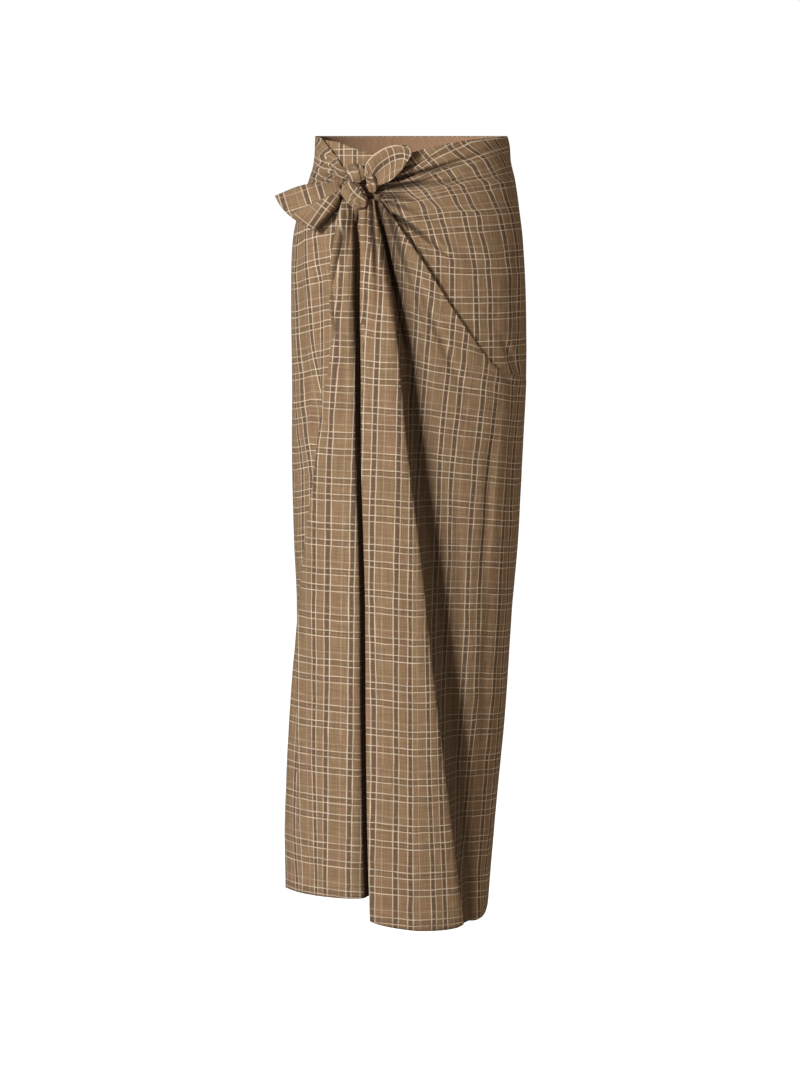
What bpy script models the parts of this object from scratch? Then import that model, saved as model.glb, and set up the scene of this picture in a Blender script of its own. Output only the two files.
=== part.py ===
"""Asymmetric wrap skirt with a tied front, as thin walls of cloth.

The frame has +Z up and the front towards -Y. The origin is the middle of the waist, level with
the top of the back. Every piece of cloth is drawn by lines on the skirt's form: a line's rows give
its height, its place across the front and how proud it stands of the form, all in millimetres.
"""

from math import asin, atan2, cos, degrees, pi, radians, sin

import bmesh
import bpy
from mathutils import Vector

MM = 0.001

WALL = 1.6  # woven cloth with its turned edges, as one wall
SEAM_GAP = 0.3
LAYER = 2.2  # from one layer's outer face to the next one's
UNROLLED_RADIUS = 130.0  # makes an angle round the form a length, to space points evenly

# The form: rows of height, left side, right side, front depth, back depth
FORM = (
    (0.0, -131.0, 131.0, 92.0, 88.0),
    (-35.0, -133.0, 135.5, 95.0, 91.0),
    (-60.0, -140.0, 141.5, 98.0, 95.0),
    (-95.0, -152.0, 146.5, 103.0, 102.0),
    (-141.0, -162.0, 152.0, 107.0, 109.0),
    (-223.0, -164.5, 156.5, 111.0, 115.0),
    (-332.0, -163.5, 157.0, 112.0, 112.0),
    (-442.0, -164.0, 152.0, 111.0, 107.0),
    (-553.0, -161.5, 147.0, 110.0, 103.0),
    (-640.0, -158.0, 139.5, 109.0, 101.0),
    (-775.0, -160.0, 131.0, 108.0, 100.0),
    (-944.0, -165.0, 116.0, 108.0, 100.0),
    (-1080.0, -167.0, 105.0, 108.0, 101.0),
)

LEFT_SEAM = -90.0
SEAM_STRIP = 1.5
RIGHT_SEAM = 90.0
HEM_BACK = -1040.0
HEM_LEFT = -1020.0
HEM_RIGHT = -1042.0
HEM_DIP = 31.0  # the right front is this much longer in the middle than at the side

# Colour, roughness
CHECK_CLOTH = ((0.235, 0.155, 0.092, 1.0), 0.85)
FACING_CLOTH = ((0.20, 0.115, 0.065, 1.0), 0.85)


def smooth_value(rows, key, column, at):
    """Value of one column where the key column is `at`, on a smooth curve through falling rows."""
    if at >= rows[0][key]:
        return rows[0][column]
    if at <= rows[-1][key]:
        return rows[-1][column]
    i = next(k for k in range(len(rows) - 1) if rows[k + 1][key] <= at)
    before, low, high = rows[max(i - 1, 0)], rows[i], rows[i + 1]
    after = rows[min(i + 2, len(rows) - 1)]
    span = high[key] - low[key]
    share = (at - low[key]) / span
    slope_in = (high[column] - before[column]) / (high[key] - before[key])
    slope_out = (after[column] - low[column]) / (after[key] - low[key])
    square, cube = share**2, share**3
    return (
        low[column] * (2 * cube - 3 * square + 1)
        + slope_in * span * (cube - 2 * square + share)
        + high[column] * (3 * square - 2 * cube)
        + slope_out * span * (cube - square)
    )


def form_at(height):
    """Middle, half width, front depth and back depth of the form at a height."""
    left, right, front, back = (smooth_value(FORM, 0, column, height) for column in (1, 2, 3, 4))
    return (left + right) / 2, (right - left) / 2, front, back


def form_point(place):
    """Point of the frame from an unrolled place: 0 round is the front, and the back is half a turn away."""
    middle, half_width, front, back = form_at(place.y)
    turn = place.x / UNROLLED_RADIUS
    depth = front if cos(turn) > 0 else back
    return Vector((middle + (half_width + place.z) * sin(turn), -(depth + place.z) * cos(turn), place.y)) * MM


def free_point(place):
    """Point of the frame from a place in free space."""
    return place * MM


def front_place(x, height, proud):
    """Unrolled place, as round, height and proud, of a point that stands at x on the front."""
    middle, half_width, _, _ = form_at(height)
    turn = asin(max(-1.0, min(1.0, (x - middle) / (half_width + proud))))
    return Vector((turn * UNROLLED_RADIUS, height, proud))


def front_line(*rows):
    """Line on the front, from rows of x, height and proud."""
    return [front_place(*row) for row in rows]


def turned_line(angle, *rows):
    """Line straight down at one angle round the form, from rows of height and proud."""
    return [Vector((radians(angle) * UNROLLED_RADIUS, height, proud)) for height, proud in rows]


def free_line(*rows):
    """Line in free space, from rows of x, y and height."""
    return [Vector(row) for row in rows]


def smooth_rows(hem):
    """Rows of height and proud of a line that lies on the form from the waist to a hem."""
    return [(height, 0.0) for height in (0.0, -95.0, -223.0, -442.0, -700.0, hem)]


def seam_pair(seam, side, *rows):
    """The line at a seam and one beside it, so that the wall meets the seam squarely."""
    edge = seam + side * degrees(SEAM_GAP / 2 / UNROLLED_RADIUS)
    return [turned_line(edge, *rows), turned_line(edge + side * SEAM_STRIP, *rows)]


def curve_point(places, position):
    """Point at `position` places along a smooth curve, whose pace follows the root of their distances."""
    last = len(places) - 1
    i = min(int(position), last - 1)
    points = [places[min(max(k, 0), last)] for k in (i - 1, i, i + 1, i + 2)]
    if i == 0:
        points[0] = points[1] * 2 - points[2]
    if i + 2 > last:
        points[3] = points[2] * 2 - points[1]
    knots = [0.0]
    for start, end in zip(points, points[1:]):
        knots.append(knots[-1] + max((end - start).length, 1e-6) ** 0.5)
    at = knots[1] + (position - i) * (knots[2] - knots[1])
    for reach in (1, 2, 3):
        points = [
            low.lerp(high, (at - knots[k]) / (knots[k + reach] - knots[k]))
            for k, (low, high) in enumerate(zip(points, points[1:]))
        ]
    return points[0]


def along(line, share):
    """Point at a share of a line's own length."""
    lengths = [0.0]
    for start, end in zip(line, line[1:]):
        lengths.append(lengths[-1] + (end - start).length)
    target = share * lengths[-1]
    i = next((k for k in range(len(line) - 1) if lengths[k + 1] >= target), len(line) - 2)
    return curve_point(line, i + (target - lengths[i]) / (lengths[i + 1] - lengths[i]))


def cloth_grid(lines, steps, rows):
    """Rows of places on the cloth that passes through the lines, with some steps from each to the next."""
    grid = []
    for row in range(rows + 1):
        stations = [along(line, row / rows) for line in lines]
        points = []
        for i, count in enumerate(steps):
            points += [curve_point(stations, i + k / count) for k in range(count)]
        grid.append(points + [stations[-1]])
    return grid


def cloth_material(name, finish):
    """Matt woven cloth in one colour."""
    material = bpy.data.materials.new(name)
    material.use_nodes = True
    colour, roughness = finish
    shader = material.node_tree.nodes["Principled BSDF"]
    shader.inputs["Base Color"].default_value = colour
    shader.inputs["Roughness"].default_value = roughness
    shader.inputs["Metallic"].default_value = 0.0
    return material


def add_object(name, bm, material):
    """Named object from a bmesh, with smooth faces that point outwards."""
    mesh = bpy.data.meshes.new(name)
    bm.to_mesh(mesh)
    bm.free()
    mesh.materials.append(material)
    mesh.shade_smooth()
    piece = bpy.data.objects.new(name, mesh)
    bpy.context.scene.collection.objects.link(piece)
    return piece


def cloth_object(name, lines, steps, rows, material, relief=None, to_frame=form_point):
    """Wall of cloth through the lines, with its outer face there and its thickness inside."""
    grid = cloth_grid(lines, steps, rows)
    across = len(grid[0]) - 1
    bm = bmesh.new()
    bmesh.ops.create_grid(bm, x_segments=across, y_segments=rows, size=1.0)
    for vertex in bm.verts:
        column = round((vertex.co.x + 1) / 2 * across)
        row = round((1 - vertex.co.y) / 2 * rows)
        place = grid[row][column]
        if relief:
            place.z += relief(place)
        vertex.co = to_frame(place)
    piece = add_object(name, bm, material)
    wall = piece.modifiers.new("wall", "SOLIDIFY")
    wall.thickness = WALL * MM
    wall.offset = -1.0
    return piece


def crease_relief(creases):
    """Lift at a place, from troughs that run along lines of x and height and die out at both ends."""

    def relief(place):
        lift = 0.0
        spot = form_point(place) / MM
        for start, end, depth, width in creases:
            run = Vector(end) - Vector(start)
            offset = spot.xz - Vector(start)
            share = offset.dot(run) / run.length_squared
            if not 0.0 < share < 1.0:
                continue
            across = abs(offset.x * run.y - offset.y * run.x) / run.length
            if across < width:
                lift -= depth * sin(pi * share) * cos(pi / 2 * across / width) ** 2
        return lift

    return relief


# Angle round the form, and how far a soft fold stands out at the hem
BACK_FOLDS = (
    (115.0, 5.0),
    (138.0, -4.0),
    (160.0, 7.0),
    (182.0, -3.0),
    (204.0, 6.0),
    (226.0, -5.0),
    (248.0, 5.0),
)
BACK_FOLDS_START = -250.0


def back_panel(material):
    """Back from side seam to side seam, with a soft fold or two in its lower half."""
    lines = seam_pair(RIGHT_SEAM, 1, *smooth_rows(HEM_RIGHT))
    for angle, lift in BACK_FOLDS:
        rows = [
            (height, lift * max(0.0, (BACK_FOLDS_START - height) / (BACK_FOLDS_START - HEM_BACK)))
            for height, _ in smooth_rows(HEM_BACK)
        ]
        lines.append(turned_line(angle, *rows))
    lines += reversed(seam_pair(360.0 + LEFT_SEAM, -1, *smooth_rows(HEM_LEFT)))
    steps = (1, 3) + (3,) * (len(BACK_FOLDS) - 1) + (3, 1)
    return cloth_object("back_panel", lines, steps, 12, material)


FACING_DEPTH = 46.0
FACING_ANGLES = (95.0, 123.0, 151.0, 180.0, 209.0, 237.0, 265.0)


def back_facing(material):
    """Plain strip inside the back of the waist."""
    lines = [
        turned_line(angle, (-1.0, -LAYER), (-FACING_DEPTH, -LAYER))
        for angle in FACING_ANGLES
    ]
    return cloth_object("back_facing", lines, (4,) * (len(lines) - 1), 2, material)


UNDER_FRONT_END = -270.0
# Across, top edge, how proud
UNDER_FRONT_TOP = (
    (-124.0, -4.0, -3.5),
    (-112.0, -6.0, -3.5),
    (-96.0, -9.0, -3.5),
    (-82.0, -14.5, -3.5),
    (-66.0, -20.0, -3.5),
    (-46.0, -23.0, -5.5),
    (-20.0, -25.0, -9.5),
    (10.0, -25.0, -10.5),
    (45.0, -18.0, -10.5),
    (80.0, -10.0, -10.5),
)


def under_front(material):
    """Inner front of the wrap, whose top edge dips in the middle."""
    lines = [
        front_line((x, top, inside), (x, top - 60.0, inside), (x, UNDER_FRONT_END, inside))
        for x, top, inside in UNDER_FRONT_TOP
    ]
    return cloth_object("under_front", lines, (3,) * (len(lines) - 1), 7, material)


def left_wrap(material):
    """Left hip cloth: its top runs down to the knot and its right edge is tucked under the left pleat."""
    lines = [
        *seam_pair(LEFT_SEAM, 1, *smooth_rows(HEM_LEFT)),
        front_line(
            (-131.0, -1.0, 0.0), (-138.0, -60.0, 0.0), (-148.0, -141.0, 0.0), (-150.0, -300.0, 0.0),
            (-152.0, -500.0, 0.0), (-151.0, -700.0, 0.0), (-157.0, -1019.0, 0.0),
        ),
        front_line(
            (-122.0, -3.0, 0.0), (-124.0, -60.0, 3.0), (-134.0, -141.0, 2.0), (-134.0, -300.0, 1.0),
            (-140.0, -500.0, 0.0), (-141.0, -700.0, 0.0), (-147.0, -1018.0, 0.0),
        ),
        front_line(
            (-108.0, -21.0, 2.0), (-110.0, -66.0, 5.0), (-117.0, -100.0, 1.5), (-117.0, -300.0, -1.0),
            (-125.0, -500.0, 0.0), (-130.0, -700.0, 0.0), (-137.0, -1018.0, 0.0),
        ),
        front_line(
            (-94.0, -43.0, 4.0), (-94.0, -66.0, 3.0), (-95.0, -92.0, 0.0), (-99.0, -300.0, -0.5),
            (-111.0, -500.0, 0.0), (-120.0, -700.0, 0.0), (-127.0, -1018.0, 0.0),
        ),
        front_line(
            (-84.0, -52.0, 2.0), (-83.0, -70.0, 1.0), (-84.0, -92.0, 0.0), (-86.0, -300.0, 0.0),
            (-99.0, -500.0, 0.0), (-110.0, -700.0, 0.0), (-117.0, -1018.0, 0.0),
        ),
    ]
    return cloth_object("left_wrap", lines, (1, 2, 3, 3, 3, 2), 16, material)


HIP_GATHER_END = -40.0
HIP_SEAM_END = -338.0
# Across, top edge, lower edge
HIP_EDGES = (
    (-50.0, -45.0, -104.0),
    (-34.0, -36.0, -122.0),
    (-14.0, -27.0, -148.0),
    (10.0, -19.0, -182.0),
    (36.0, -12.5, -224.0),
    (62.0, -7.5, -264.0),
    (88.0, -4.0, -300.0),
    (116.0, -1.5, -330.0),
)
# Troughs of the cloth pulled to the knot: start, end, depth, half width
HIP_CREASES = (
    ((-45.0, -62.0), (122.0, -8.0), 6.0, 10.0),
    ((-45.0, -74.0), (125.0, -56.0), 4.0, 9.0),
    ((-40.0, -86.0), (60.0, -92.0), 3.0, 9.0),
)


def hip_wrap(material):
    """Upper right front, gathered to the knot at its left and hidden under the drape's fold below."""
    lines = [
        front_line((x, top, 2.0), (x, (top + end) / 2, 1.0), (x, end, 0.0))
        if x < HIP_GATHER_END
        else front_line((x, top, 0.0), (x, (top + end) / 2, 0.0), (x, end, 0.0))
        for x, top, end in HIP_EDGES
    ]
    lines += reversed(
        seam_pair(RIGHT_SEAM, -1, (0.0, 0.0), (-120.0, 0.0), (-240.0, 0.0), (HIP_SEAM_END, 0.0))
    )
    return cloth_object("hip_wrap", lines, (2,) * 6 + (3, 3, 1), 14, material, crease_relief(HIP_CREASES))


# Lines of the front drape. Rows of x, height and proud, from the gather under the knot to the hem.
LEFT_FOLD = (
    (-93.0, -84.0, 9.0), (-105.0, -141.0, 10.0), (-112.0, -219.0, 11.0), (-108.0, -275.0, 11.0),
    (-120.0, -357.0, 12.0), (-133.5, -464.0, 13.0), (-150.0, -595.0, 14.0), (-165.0, -762.0, 15.0),
    (-174.0, -955.0, 15.0), (-173.0, -1029.0, 15.0),
)
LEFT_RIDGE = (
    (-84.0, -84.0, 9.0), (-84.0, -141.0, 15.0), (-83.5, -219.0, 18.0), (-86.0, -357.0, 21.0),
    (-92.0, -530.0, 24.0), (-97.0, -762.0, 27.0), (-102.0, -1028.0, 29.0),
)
CENTRE_LEFT = (
    (-68.0, -84.0, 8.0), (-68.5, -141.0, 17.0), (-69.0, -219.0, 22.0), (-68.0, -357.0, 27.0),
    (-65.0, -530.0, 32.0), (-62.0, -762.0, 37.0), (-56.4, -1054.0, 40.0),
)
CENTRE_MIDDLE = (
    (-59.0, -84.0, 12.0), (-54.0, -141.0, 23.0), (-47.0, -219.0, 28.0), (-40.0, -357.0, 34.0),
    (-28.0, -530.0, 40.0), (-13.0, -762.0, 46.0), (8.0, -1067.0, 49.0),
)
CENTRE_RIGHT = (
    (-50.0, -84.0, 9.0), (-39.5, -141.0, 19.0), (-25.5, -219.0, 24.0), (-11.5, -357.0, 29.0),
    (8.5, -530.0, 34.0), (34.0, -762.0, 39.0), (71.0, -1064.0, 42.0),
)
VALLEY = (
    (-46.0, -84.0, 6.0), (-33.0, -141.0, 5.0), (-17.0, -219.0, 4.0), (-4.0, -357.0, 3.5),
    (22.0, -530.0, 3.0), (52.0, -762.0, 3.0), (79.0, -1072.0, 3.0),
)
RIGHT_TOPS = (
    (-18.0, -119.0, 13.0),
    (8.4, -156.7, 11.0),
    (48.6, -219.5, 8.5),
    (84.8, -273.0, 6.0),
    (118.4, -313.0, 3.5),
)


# Troughs between the gathers under the knot: start, end, depth, half width
DRAPE_CREASES = (
    ((-91.0, -84.0), (-97.0, -250.0), 5.0, 6.0),
    ((-77.0, -84.0), (-77.0, -290.0), 5.0, 6.0),
    ((-56.0, -84.0), (-49.0, -240.0), 5.0, 6.0),
    ((-30.0, -104.0), (30.0, -420.0), 4.0, 9.0),
    ((-12.0, -128.0), (70.0, -420.0), 3.0, 9.0),
)


RIGHT_HEIGHTS = (-430.0, -640.0, -850.0)
VALLEY_PROUD = 3.0


def shifted(line, across, proud, drop=0.0):
    """A line moved across and outwards, with its hem `drop` lower."""
    moved = [(x + across, height, out + proud) for x, height, out in line]
    x, height, out = moved[-1]
    return moved[:-1] + [(x, height - drop, out)]


def right_face_lines():
    """Lines of the right front, from the drape's slanting fold edge down to the hem."""
    lines = []
    for i, (x, top, proud) in enumerate(RIGHT_TOPS):
        share = (i + 1) / (len(RIGHT_TOPS) + 1)
        rows = [front_place(x, top, proud)]
        hem = HEM_RIGHT - HEM_DIP * (1 - share**4)
        for height in (*RIGHT_HEIGHTS, hem):
            valley = front_place(smooth_value(VALLEY, 1, 0, height), height, VALLEY_PROUD)
            seam = Vector((radians(RIGHT_SEAM) * UNROLLED_RADIUS, height, 0.0))
            rows.append(valley.lerp(seam, share))
        lines.append(rows)
    return lines


def front_drape(material):
    """Left pleat, centre pleat and right front in one draped piece, gathered below the knot."""
    lines = [
        front_line(*shifted(LEFT_FOLD, 24.0, -6.0)),
        front_line(*shifted(LEFT_FOLD, 5.0, -5.0)),
        front_line(*LEFT_FOLD),
        front_line(*shifted(LEFT_FOLD, 5.0, 4.5)),
        front_line(*LEFT_RIDGE),
        front_line(*shifted(CENTRE_LEFT, -5.0, -5.0, -29.0)),
        front_line(*shifted(CENTRE_LEFT, 4.0, -8.0, -28.0)),
        front_line(*shifted(CENTRE_LEFT, 3.0, -3.0, -4.0)),
        front_line(*CENTRE_LEFT),
        front_line(*shifted(CENTRE_LEFT, 6.0, 4.0, 3.0)),
        front_line(*CENTRE_MIDDLE),
        front_line(*shifted(CENTRE_RIGHT, -9.0, 5.0, 3.0)),
        front_line(*CENTRE_RIGHT),
        front_line(*shifted(CENTRE_RIGHT, -3.0, -6.0, 2.0)),
        front_line(*VALLEY),
    ]
    lines += right_face_lines()
    over_hip = [(-325.0, LAYER), (-350.0, LAYER)]
    on_form = [(height, 0.0) for height in (-400.0, *RIGHT_HEIGHTS[1:], HEM_RIGHT)]
    lines += reversed(seam_pair(RIGHT_SEAM, -1, *over_hip, *on_form))
    steps = (2, 2, 2, 4, 4, 2, 2, 2, 2, 3, 3, 2, 2, 2, 3, 3, 3, 3, 3, 3, 1)
    return cloth_object("front_drape", lines, steps, 21, material, crease_relief(DRAPE_CREASES))


# Tie ends: a row for each line from the knot to the end's edge, of points of x, y and height
LEFT_TAIL = (
    ((-97, -86, -60), (-115, -86, -62), (-139, -82, -64), (-158, -76, -69), (-184, -66, -80)),
    ((-97, -92, -66), (-114, -96, -71), (-138, -91, -77), (-160, -84, -85), (-176, -76, -94)),
    ((-94.4, -96.5, -71), (-111, -101, -80), (-131, -97, -90), (-148, -91, -99), (-163, -84, -107)),
    ((-95, -96, -78), (-108, -102, -89), (-124, -98, -101), (-138, -93, -110), (-148, -88, -117)),
    ((-96, -95, -84), (-106, -99, -96), (-118, -96, -109), (-126, -92, -118), (-131, -88, -125)),
    ((-93.4, -88.5, -86), (-100, -89, -97), (-110, -84, -109), (-116, -81, -117), (-120, -78, -124)),
)
RIGHT_TAIL = (
    ((-62.3, -91.6, -50), (-60, -101, -37), (-44, -106, -21), (-20, -112, -12), (0, -113, -15)),
    ((-60.5, -91.5, -54), (-54, -95, -44), (-40, -98, -30), (-18, -103, -20), (0, -109, -18)),
    ((-58, -93, -60), (-48, -97, -53), (-33, -102, -43), (-16, -106, -31), (-1, -109, -22)),
    ((-56, -95, -64), (-42, -104, -64), (-27, -111, -57), (-11, -112, -41), (-2, -110, -27)),
)


def left_tail(material):
    """Fan-shaped tie end that points left, with its lower part folded under."""
    lines = [free_line(*rows) for rows in LEFT_TAIL]
    return cloth_object("left_tail", lines, (3, 3, 2, 2, 3), 8, material, to_frame=free_point)


def right_tail(material):
    """Cupped leaf-shaped tie end that points up and right."""
    lines = [free_line(*rows) for rows in RIGHT_TAIL]
    return cloth_object("right_tail", lines, (4, 4, 4), 8, material, to_frame=free_point)


# Paths of x, y and height through each lump of the knot
LOOP_PATH = (
    (-87.0, -94.0, -65.0), (-84.0, -103.5, -69.0), (-77.0, -110.0, -77.0),
    (-71.0, -111.5, -87.0), (-69.0, -110.5, -96.0),
)
STRAP_PATH = ((-77.0, -85.5, -38.0), (-76.0, -91.5, -45.0), (-73.0, -93.8, -54.0), (-68.5, -93.0, -62.5))
TUCK_PATH = ((-56.0, -99.0, -50.0), (-55.0, -104.5, -57.0), (-53.0, -105.5, -66.0), (-52.0, -103.5, -75.0))


BUNDLE_SIDES = 20
BUNDLE_ROWS = 12
FLUTE_DEPTH = 0.07  # share of the bundle's half width


def rolled_bundle(name, path, half_width, half_thick, flutes, material):
    """Closed bundle of gathered cloth: a fluted oval carried along a path."""
    bm = bmesh.new()
    bmesh.ops.create_uvsphere(bm, u_segments=BUNDLE_SIDES, v_segments=BUNDLE_ROWS, radius=1.0)
    points = [Vector(point) for point in path]
    for vertex in bm.verts:
        share = (1 - vertex.co.z) / 2
        position = share * (len(points) - 1)
        i = min(int(position), len(points) - 2)
        spot = points[i].lerp(points[i + 1], position - i)
        ahead = (points[i + 1] - points[i]).normalized()
        across = Vector((0.0, -1.0, 0.0)).cross(ahead).normalized()
        out = ahead.cross(across).normalized()
        turn = -atan2(vertex.co.y, vertex.co.x)
        swell = max(0.0, 1 - vertex.co.z**2) ** 0.25 * (1 + FLUTE_DEPTH * cos(flutes * turn))
        sideways, outwards = half_width * swell * cos(turn), half_thick * swell * sin(turn)
        vertex.co = (spot + across * sideways + out * outwards) * MM
    bmesh.ops.recalc_face_normals(bm, faces=bm.faces)
    return add_object(name, bm, material)


def main():
    """Clears the scene and builds each piece of the skirt."""
    for leftover in list(bpy.data.objects):
        bpy.data.objects.remove(leftover)
    check = cloth_material("check_cloth", CHECK_CLOTH)
    facing = cloth_material("facing_cloth", FACING_CLOTH)
    back_panel(check)
    back_facing(facing)
    under_front(check)
    left_wrap(check)
    hip_wrap(check)
    front_drape(check)
    left_tail(check)
    right_tail(check)
    rolled_bundle("knot_loop", LOOP_PATH, 12.5, 7.0, 5, check)
    rolled_bundle("knot_strap", STRAP_PATH, 10.5, 5.5, 4, check)
    rolled_bundle("knot_tuck", TUCK_PATH, 6.0, 5.0, 4, check)


main()
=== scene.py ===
"""Looks of the asymmetric wrap skirt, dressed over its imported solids.

The frame has +Z up and the front towards -Y, with the origin in the middle of the waist. Cloth is
drawn as the solids are: by lines on the skirt's form, whose rows give height, place across the front
and how proud the cloth stands, in millimetres. Each panel also charts how its woven check runs.
"""

from __future__ import annotations

import logging
from dataclasses import dataclass, field
from enum import Enum
from math import asin, pi, radians

import bpy
import bmesh
import numpy as np
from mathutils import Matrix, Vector, noise

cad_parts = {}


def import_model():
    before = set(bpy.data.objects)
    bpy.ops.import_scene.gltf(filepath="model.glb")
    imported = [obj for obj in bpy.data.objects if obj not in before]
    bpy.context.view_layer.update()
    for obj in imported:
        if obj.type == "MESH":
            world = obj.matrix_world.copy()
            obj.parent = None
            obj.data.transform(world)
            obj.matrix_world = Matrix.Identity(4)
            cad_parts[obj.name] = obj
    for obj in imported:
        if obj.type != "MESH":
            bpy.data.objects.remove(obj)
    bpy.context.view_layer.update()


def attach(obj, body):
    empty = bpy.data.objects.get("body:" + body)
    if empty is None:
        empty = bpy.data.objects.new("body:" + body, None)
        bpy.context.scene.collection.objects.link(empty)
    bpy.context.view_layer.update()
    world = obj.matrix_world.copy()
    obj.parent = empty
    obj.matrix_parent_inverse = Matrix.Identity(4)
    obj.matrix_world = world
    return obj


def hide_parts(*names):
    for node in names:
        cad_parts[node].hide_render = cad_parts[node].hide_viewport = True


LOG = logging.getLogger("skirt")

MM = 0.001
WALL = 1.3  # cloth wall, slightly finer than the solids'
LAYER = 2.2  # from one layer's outer face to the next one's
SEAM_GAP = 0.06  # between two panels that meet at a side seam
UNROLLED_RADIUS = 130.0  # turns an angle round the form into a place across
TINY = 1e-6  # keeps a division safe
LEFT_SEAM, RIGHT_SEAM = -90.0, 90.0
HEM_BACK, HEM_LEFT, HEM_RIGHT, HEM_DIP = -1040.0, -1020.0, -1042.0, 31.0

Rows = tuple[tuple[float, ...], ...]


def smooth_column(rows: Rows, column: int, at: np.ndarray | float, key: int = 0) -> np.ndarray:
    """Value of one column where the key column is `at`, on a smooth curve through falling rows.

    Args:
        rows: table whose key column falls from row to row.
        column: column to read.
        at: keys to read it at.
        key: column that holds the keys.

    Returns:
        The value at each key, held at the ends of the table.
    """
    table = np.asarray(rows, float)
    keys, values = -table[:, key], table[:, column]
    at = np.clip(-np.asarray(at, float), keys[0], keys[-1])
    i = np.clip(np.searchsorted(keys, at, side="right") - 1, 0, len(keys) - 2)
    before, after = np.maximum(i - 1, 0), np.minimum(i + 2, len(keys) - 1)
    span = keys[i + 1] - keys[i]
    share = (at - keys[i]) / span
    slope_in = (values[i + 1] - values[before]) / (keys[i + 1] - keys[before])
    slope_out = (values[after] - values[i]) / (keys[after] - keys[i])
    square, cube = share**2, share**3
    return (
        values[i] * (2 * cube - 3 * square + 1)
        + slope_in * span * (cube - 2 * square + share)
        + values[i + 1] * (3 * square - 2 * cube)
        + slope_out * span * (cube - square)
    )


def on_curve(places: np.ndarray, positions: np.ndarray) -> np.ndarray:
    """Points along smooth curves whose pace follows the root of their places' distances.

    Args:
        places: places of each curve, on the second-last axis.
        positions: where to read each curve, counted in places.

    Returns:
        The points, with the positions on the second-last axis.
    """
    last = places.shape[-2] - 1
    i = np.minimum(positions.astype(int), last - 1)
    one, two = places[..., i, :], places[..., i + 1, :]
    before = np.where((i == 0)[:, None], 2 * one - two, places[..., np.maximum(i - 1, 0), :])
    after = np.where((i + 2 > last)[:, None], 2 * two - one, places[..., np.minimum(i + 2, last), :])
    knots = [np.zeros(one.shape[:-1] + (1,))]
    for start, end in ((before, one), (one, two), (two, after)):
        gap = np.maximum(np.linalg.norm(end - start, axis=-1, keepdims=True), TINY)
        knots.append(knots[-1] + np.sqrt(gap))
    at = knots[1] + (positions - i)[:, None] * (knots[2] - knots[1])
    points = [before, one, two, after]
    for reach in (1, 2, 3):
        points = [
            low + (high - low) * (at - knots[k]) / (knots[k + reach] - knots[k])
            for k, (low, high) in enumerate(zip(points, points[1:]))
        ]
    return points[0]


def lengths_along(points: np.ndarray, axis: int) -> np.ndarray:
    """Length from the first point to each point, along one axis of a line or surface.

    Args:
        points: the points, with their coordinates on the last axis.
        axis: axis to run along.

    Returns:
        The lengths, nothing at the first point.
    """
    steps = np.linalg.norm(np.diff(points, axis=axis), axis=-1)
    return np.insert(np.cumsum(steps, axis=axis), 0, 0.0, axis=axis)


def along(line: np.ndarray, shares: np.ndarray) -> np.ndarray:
    """Points at shares of a line's own length."""
    lengths = lengths_along(line, 0)
    return on_curve(line, np.interp(shares * lengths[-1], lengths, np.arange(len(line))))


@dataclass(frozen=True)
class Form:
    """The oval form under the skirt, from rows of height, left, right, front depth and back depth."""

    rows: Rows = (
        (0, -131, 131, 92, 88),
        (-35, -133, 135.5, 95, 91),
        (-60, -140, 141.5, 98, 95),
        (-95, -152, 146.5, 103, 102),
        (-141, -162, 152, 107, 109),
        (-223, -164.5, 156.5, 111, 115),
        (-332, -163.5, 157, 112, 112),
        (-442, -164, 152, 111, 107),
        (-553, -161.5, 147, 110, 103),
        (-640, -158, 139.5, 109, 101),
        (-775, -160, 131, 108, 100),
        (-944, -165, 116, 108, 100),
        (-1080, -167, 105, 108, 101),
    )

    def middle_and_half(self, height: np.ndarray | float) -> tuple[np.ndarray, np.ndarray]:
        """Middle and half width of the form at a height."""
        left, right = (smooth_column(self.rows, column, height) for column in (1, 2))
        return (left + right) / 2, (right - left) / 2

    def points(self, places: np.ndarray) -> np.ndarray:
        """Points of the frame from unrolled places.

        Args:
            places: place round the form, height and how proud, on the last axis.

        Returns:
            The points, in millimetres.
        """
        middle, half_width = self.middle_and_half(places[..., 1])
        turn = places[..., 0] / UNROLLED_RADIUS
        front, back = (smooth_column(self.rows, column, places[..., 1]) for column in (3, 4))
        depth = np.where(np.cos(turn) > 0, front, back)
        return np.stack(
            [
                middle + (half_width + places[..., 2]) * np.sin(turn),
                -(depth + places[..., 2]) * np.cos(turn),
                places[..., 1],
            ],
            axis=-1,
        )

    def front_place(self, x: float, height: float, proud: float) -> tuple[float, float, float]:
        """Unrolled place of a point of the front.

        Args:
            x: place across the front, as seen from there.
            height: height in the frame.
            proud: how far it stands off the form.

        Returns:
            Its place round the form, its height and how proud it stands.
        """
        middle, half_width = self.middle_and_half(height)
        turn = asin(max(-1.0, min(1.0, (x - middle) / (half_width + proud))))
        return turn * UNROLLED_RADIUS, height, proud

    def front_line(self, rows: Rows) -> np.ndarray:
        """Line on the front, from rows of x, height and proud."""
        return np.array([self.front_place(*row) for row in rows])


FORM = Form()


def turned_line(angle: float, rows: Rows) -> np.ndarray:
    """Line straight down at one angle round the form, from rows of height and proud."""
    return np.array([(radians(angle) * UNROLLED_RADIUS, height, proud) for height, proud in rows])


def shifted(line: Rows, across: float, proud: float, drop: float = 0.0) -> Rows:
    """A line moved across and outwards.

    Args:
        line: rows of x, height and proud.
        across: how far it moves to the right.
        proud: how far it moves outwards.
        drop: how much lower its end at the hem is.

    Returns:
        The moved line's rows.
    """
    moved = [(x + across, height, out + proud) for x, height, out in line]
    x, height, out = moved[-1]
    return (*moved[:-1], (x, height - drop, out))


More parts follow.
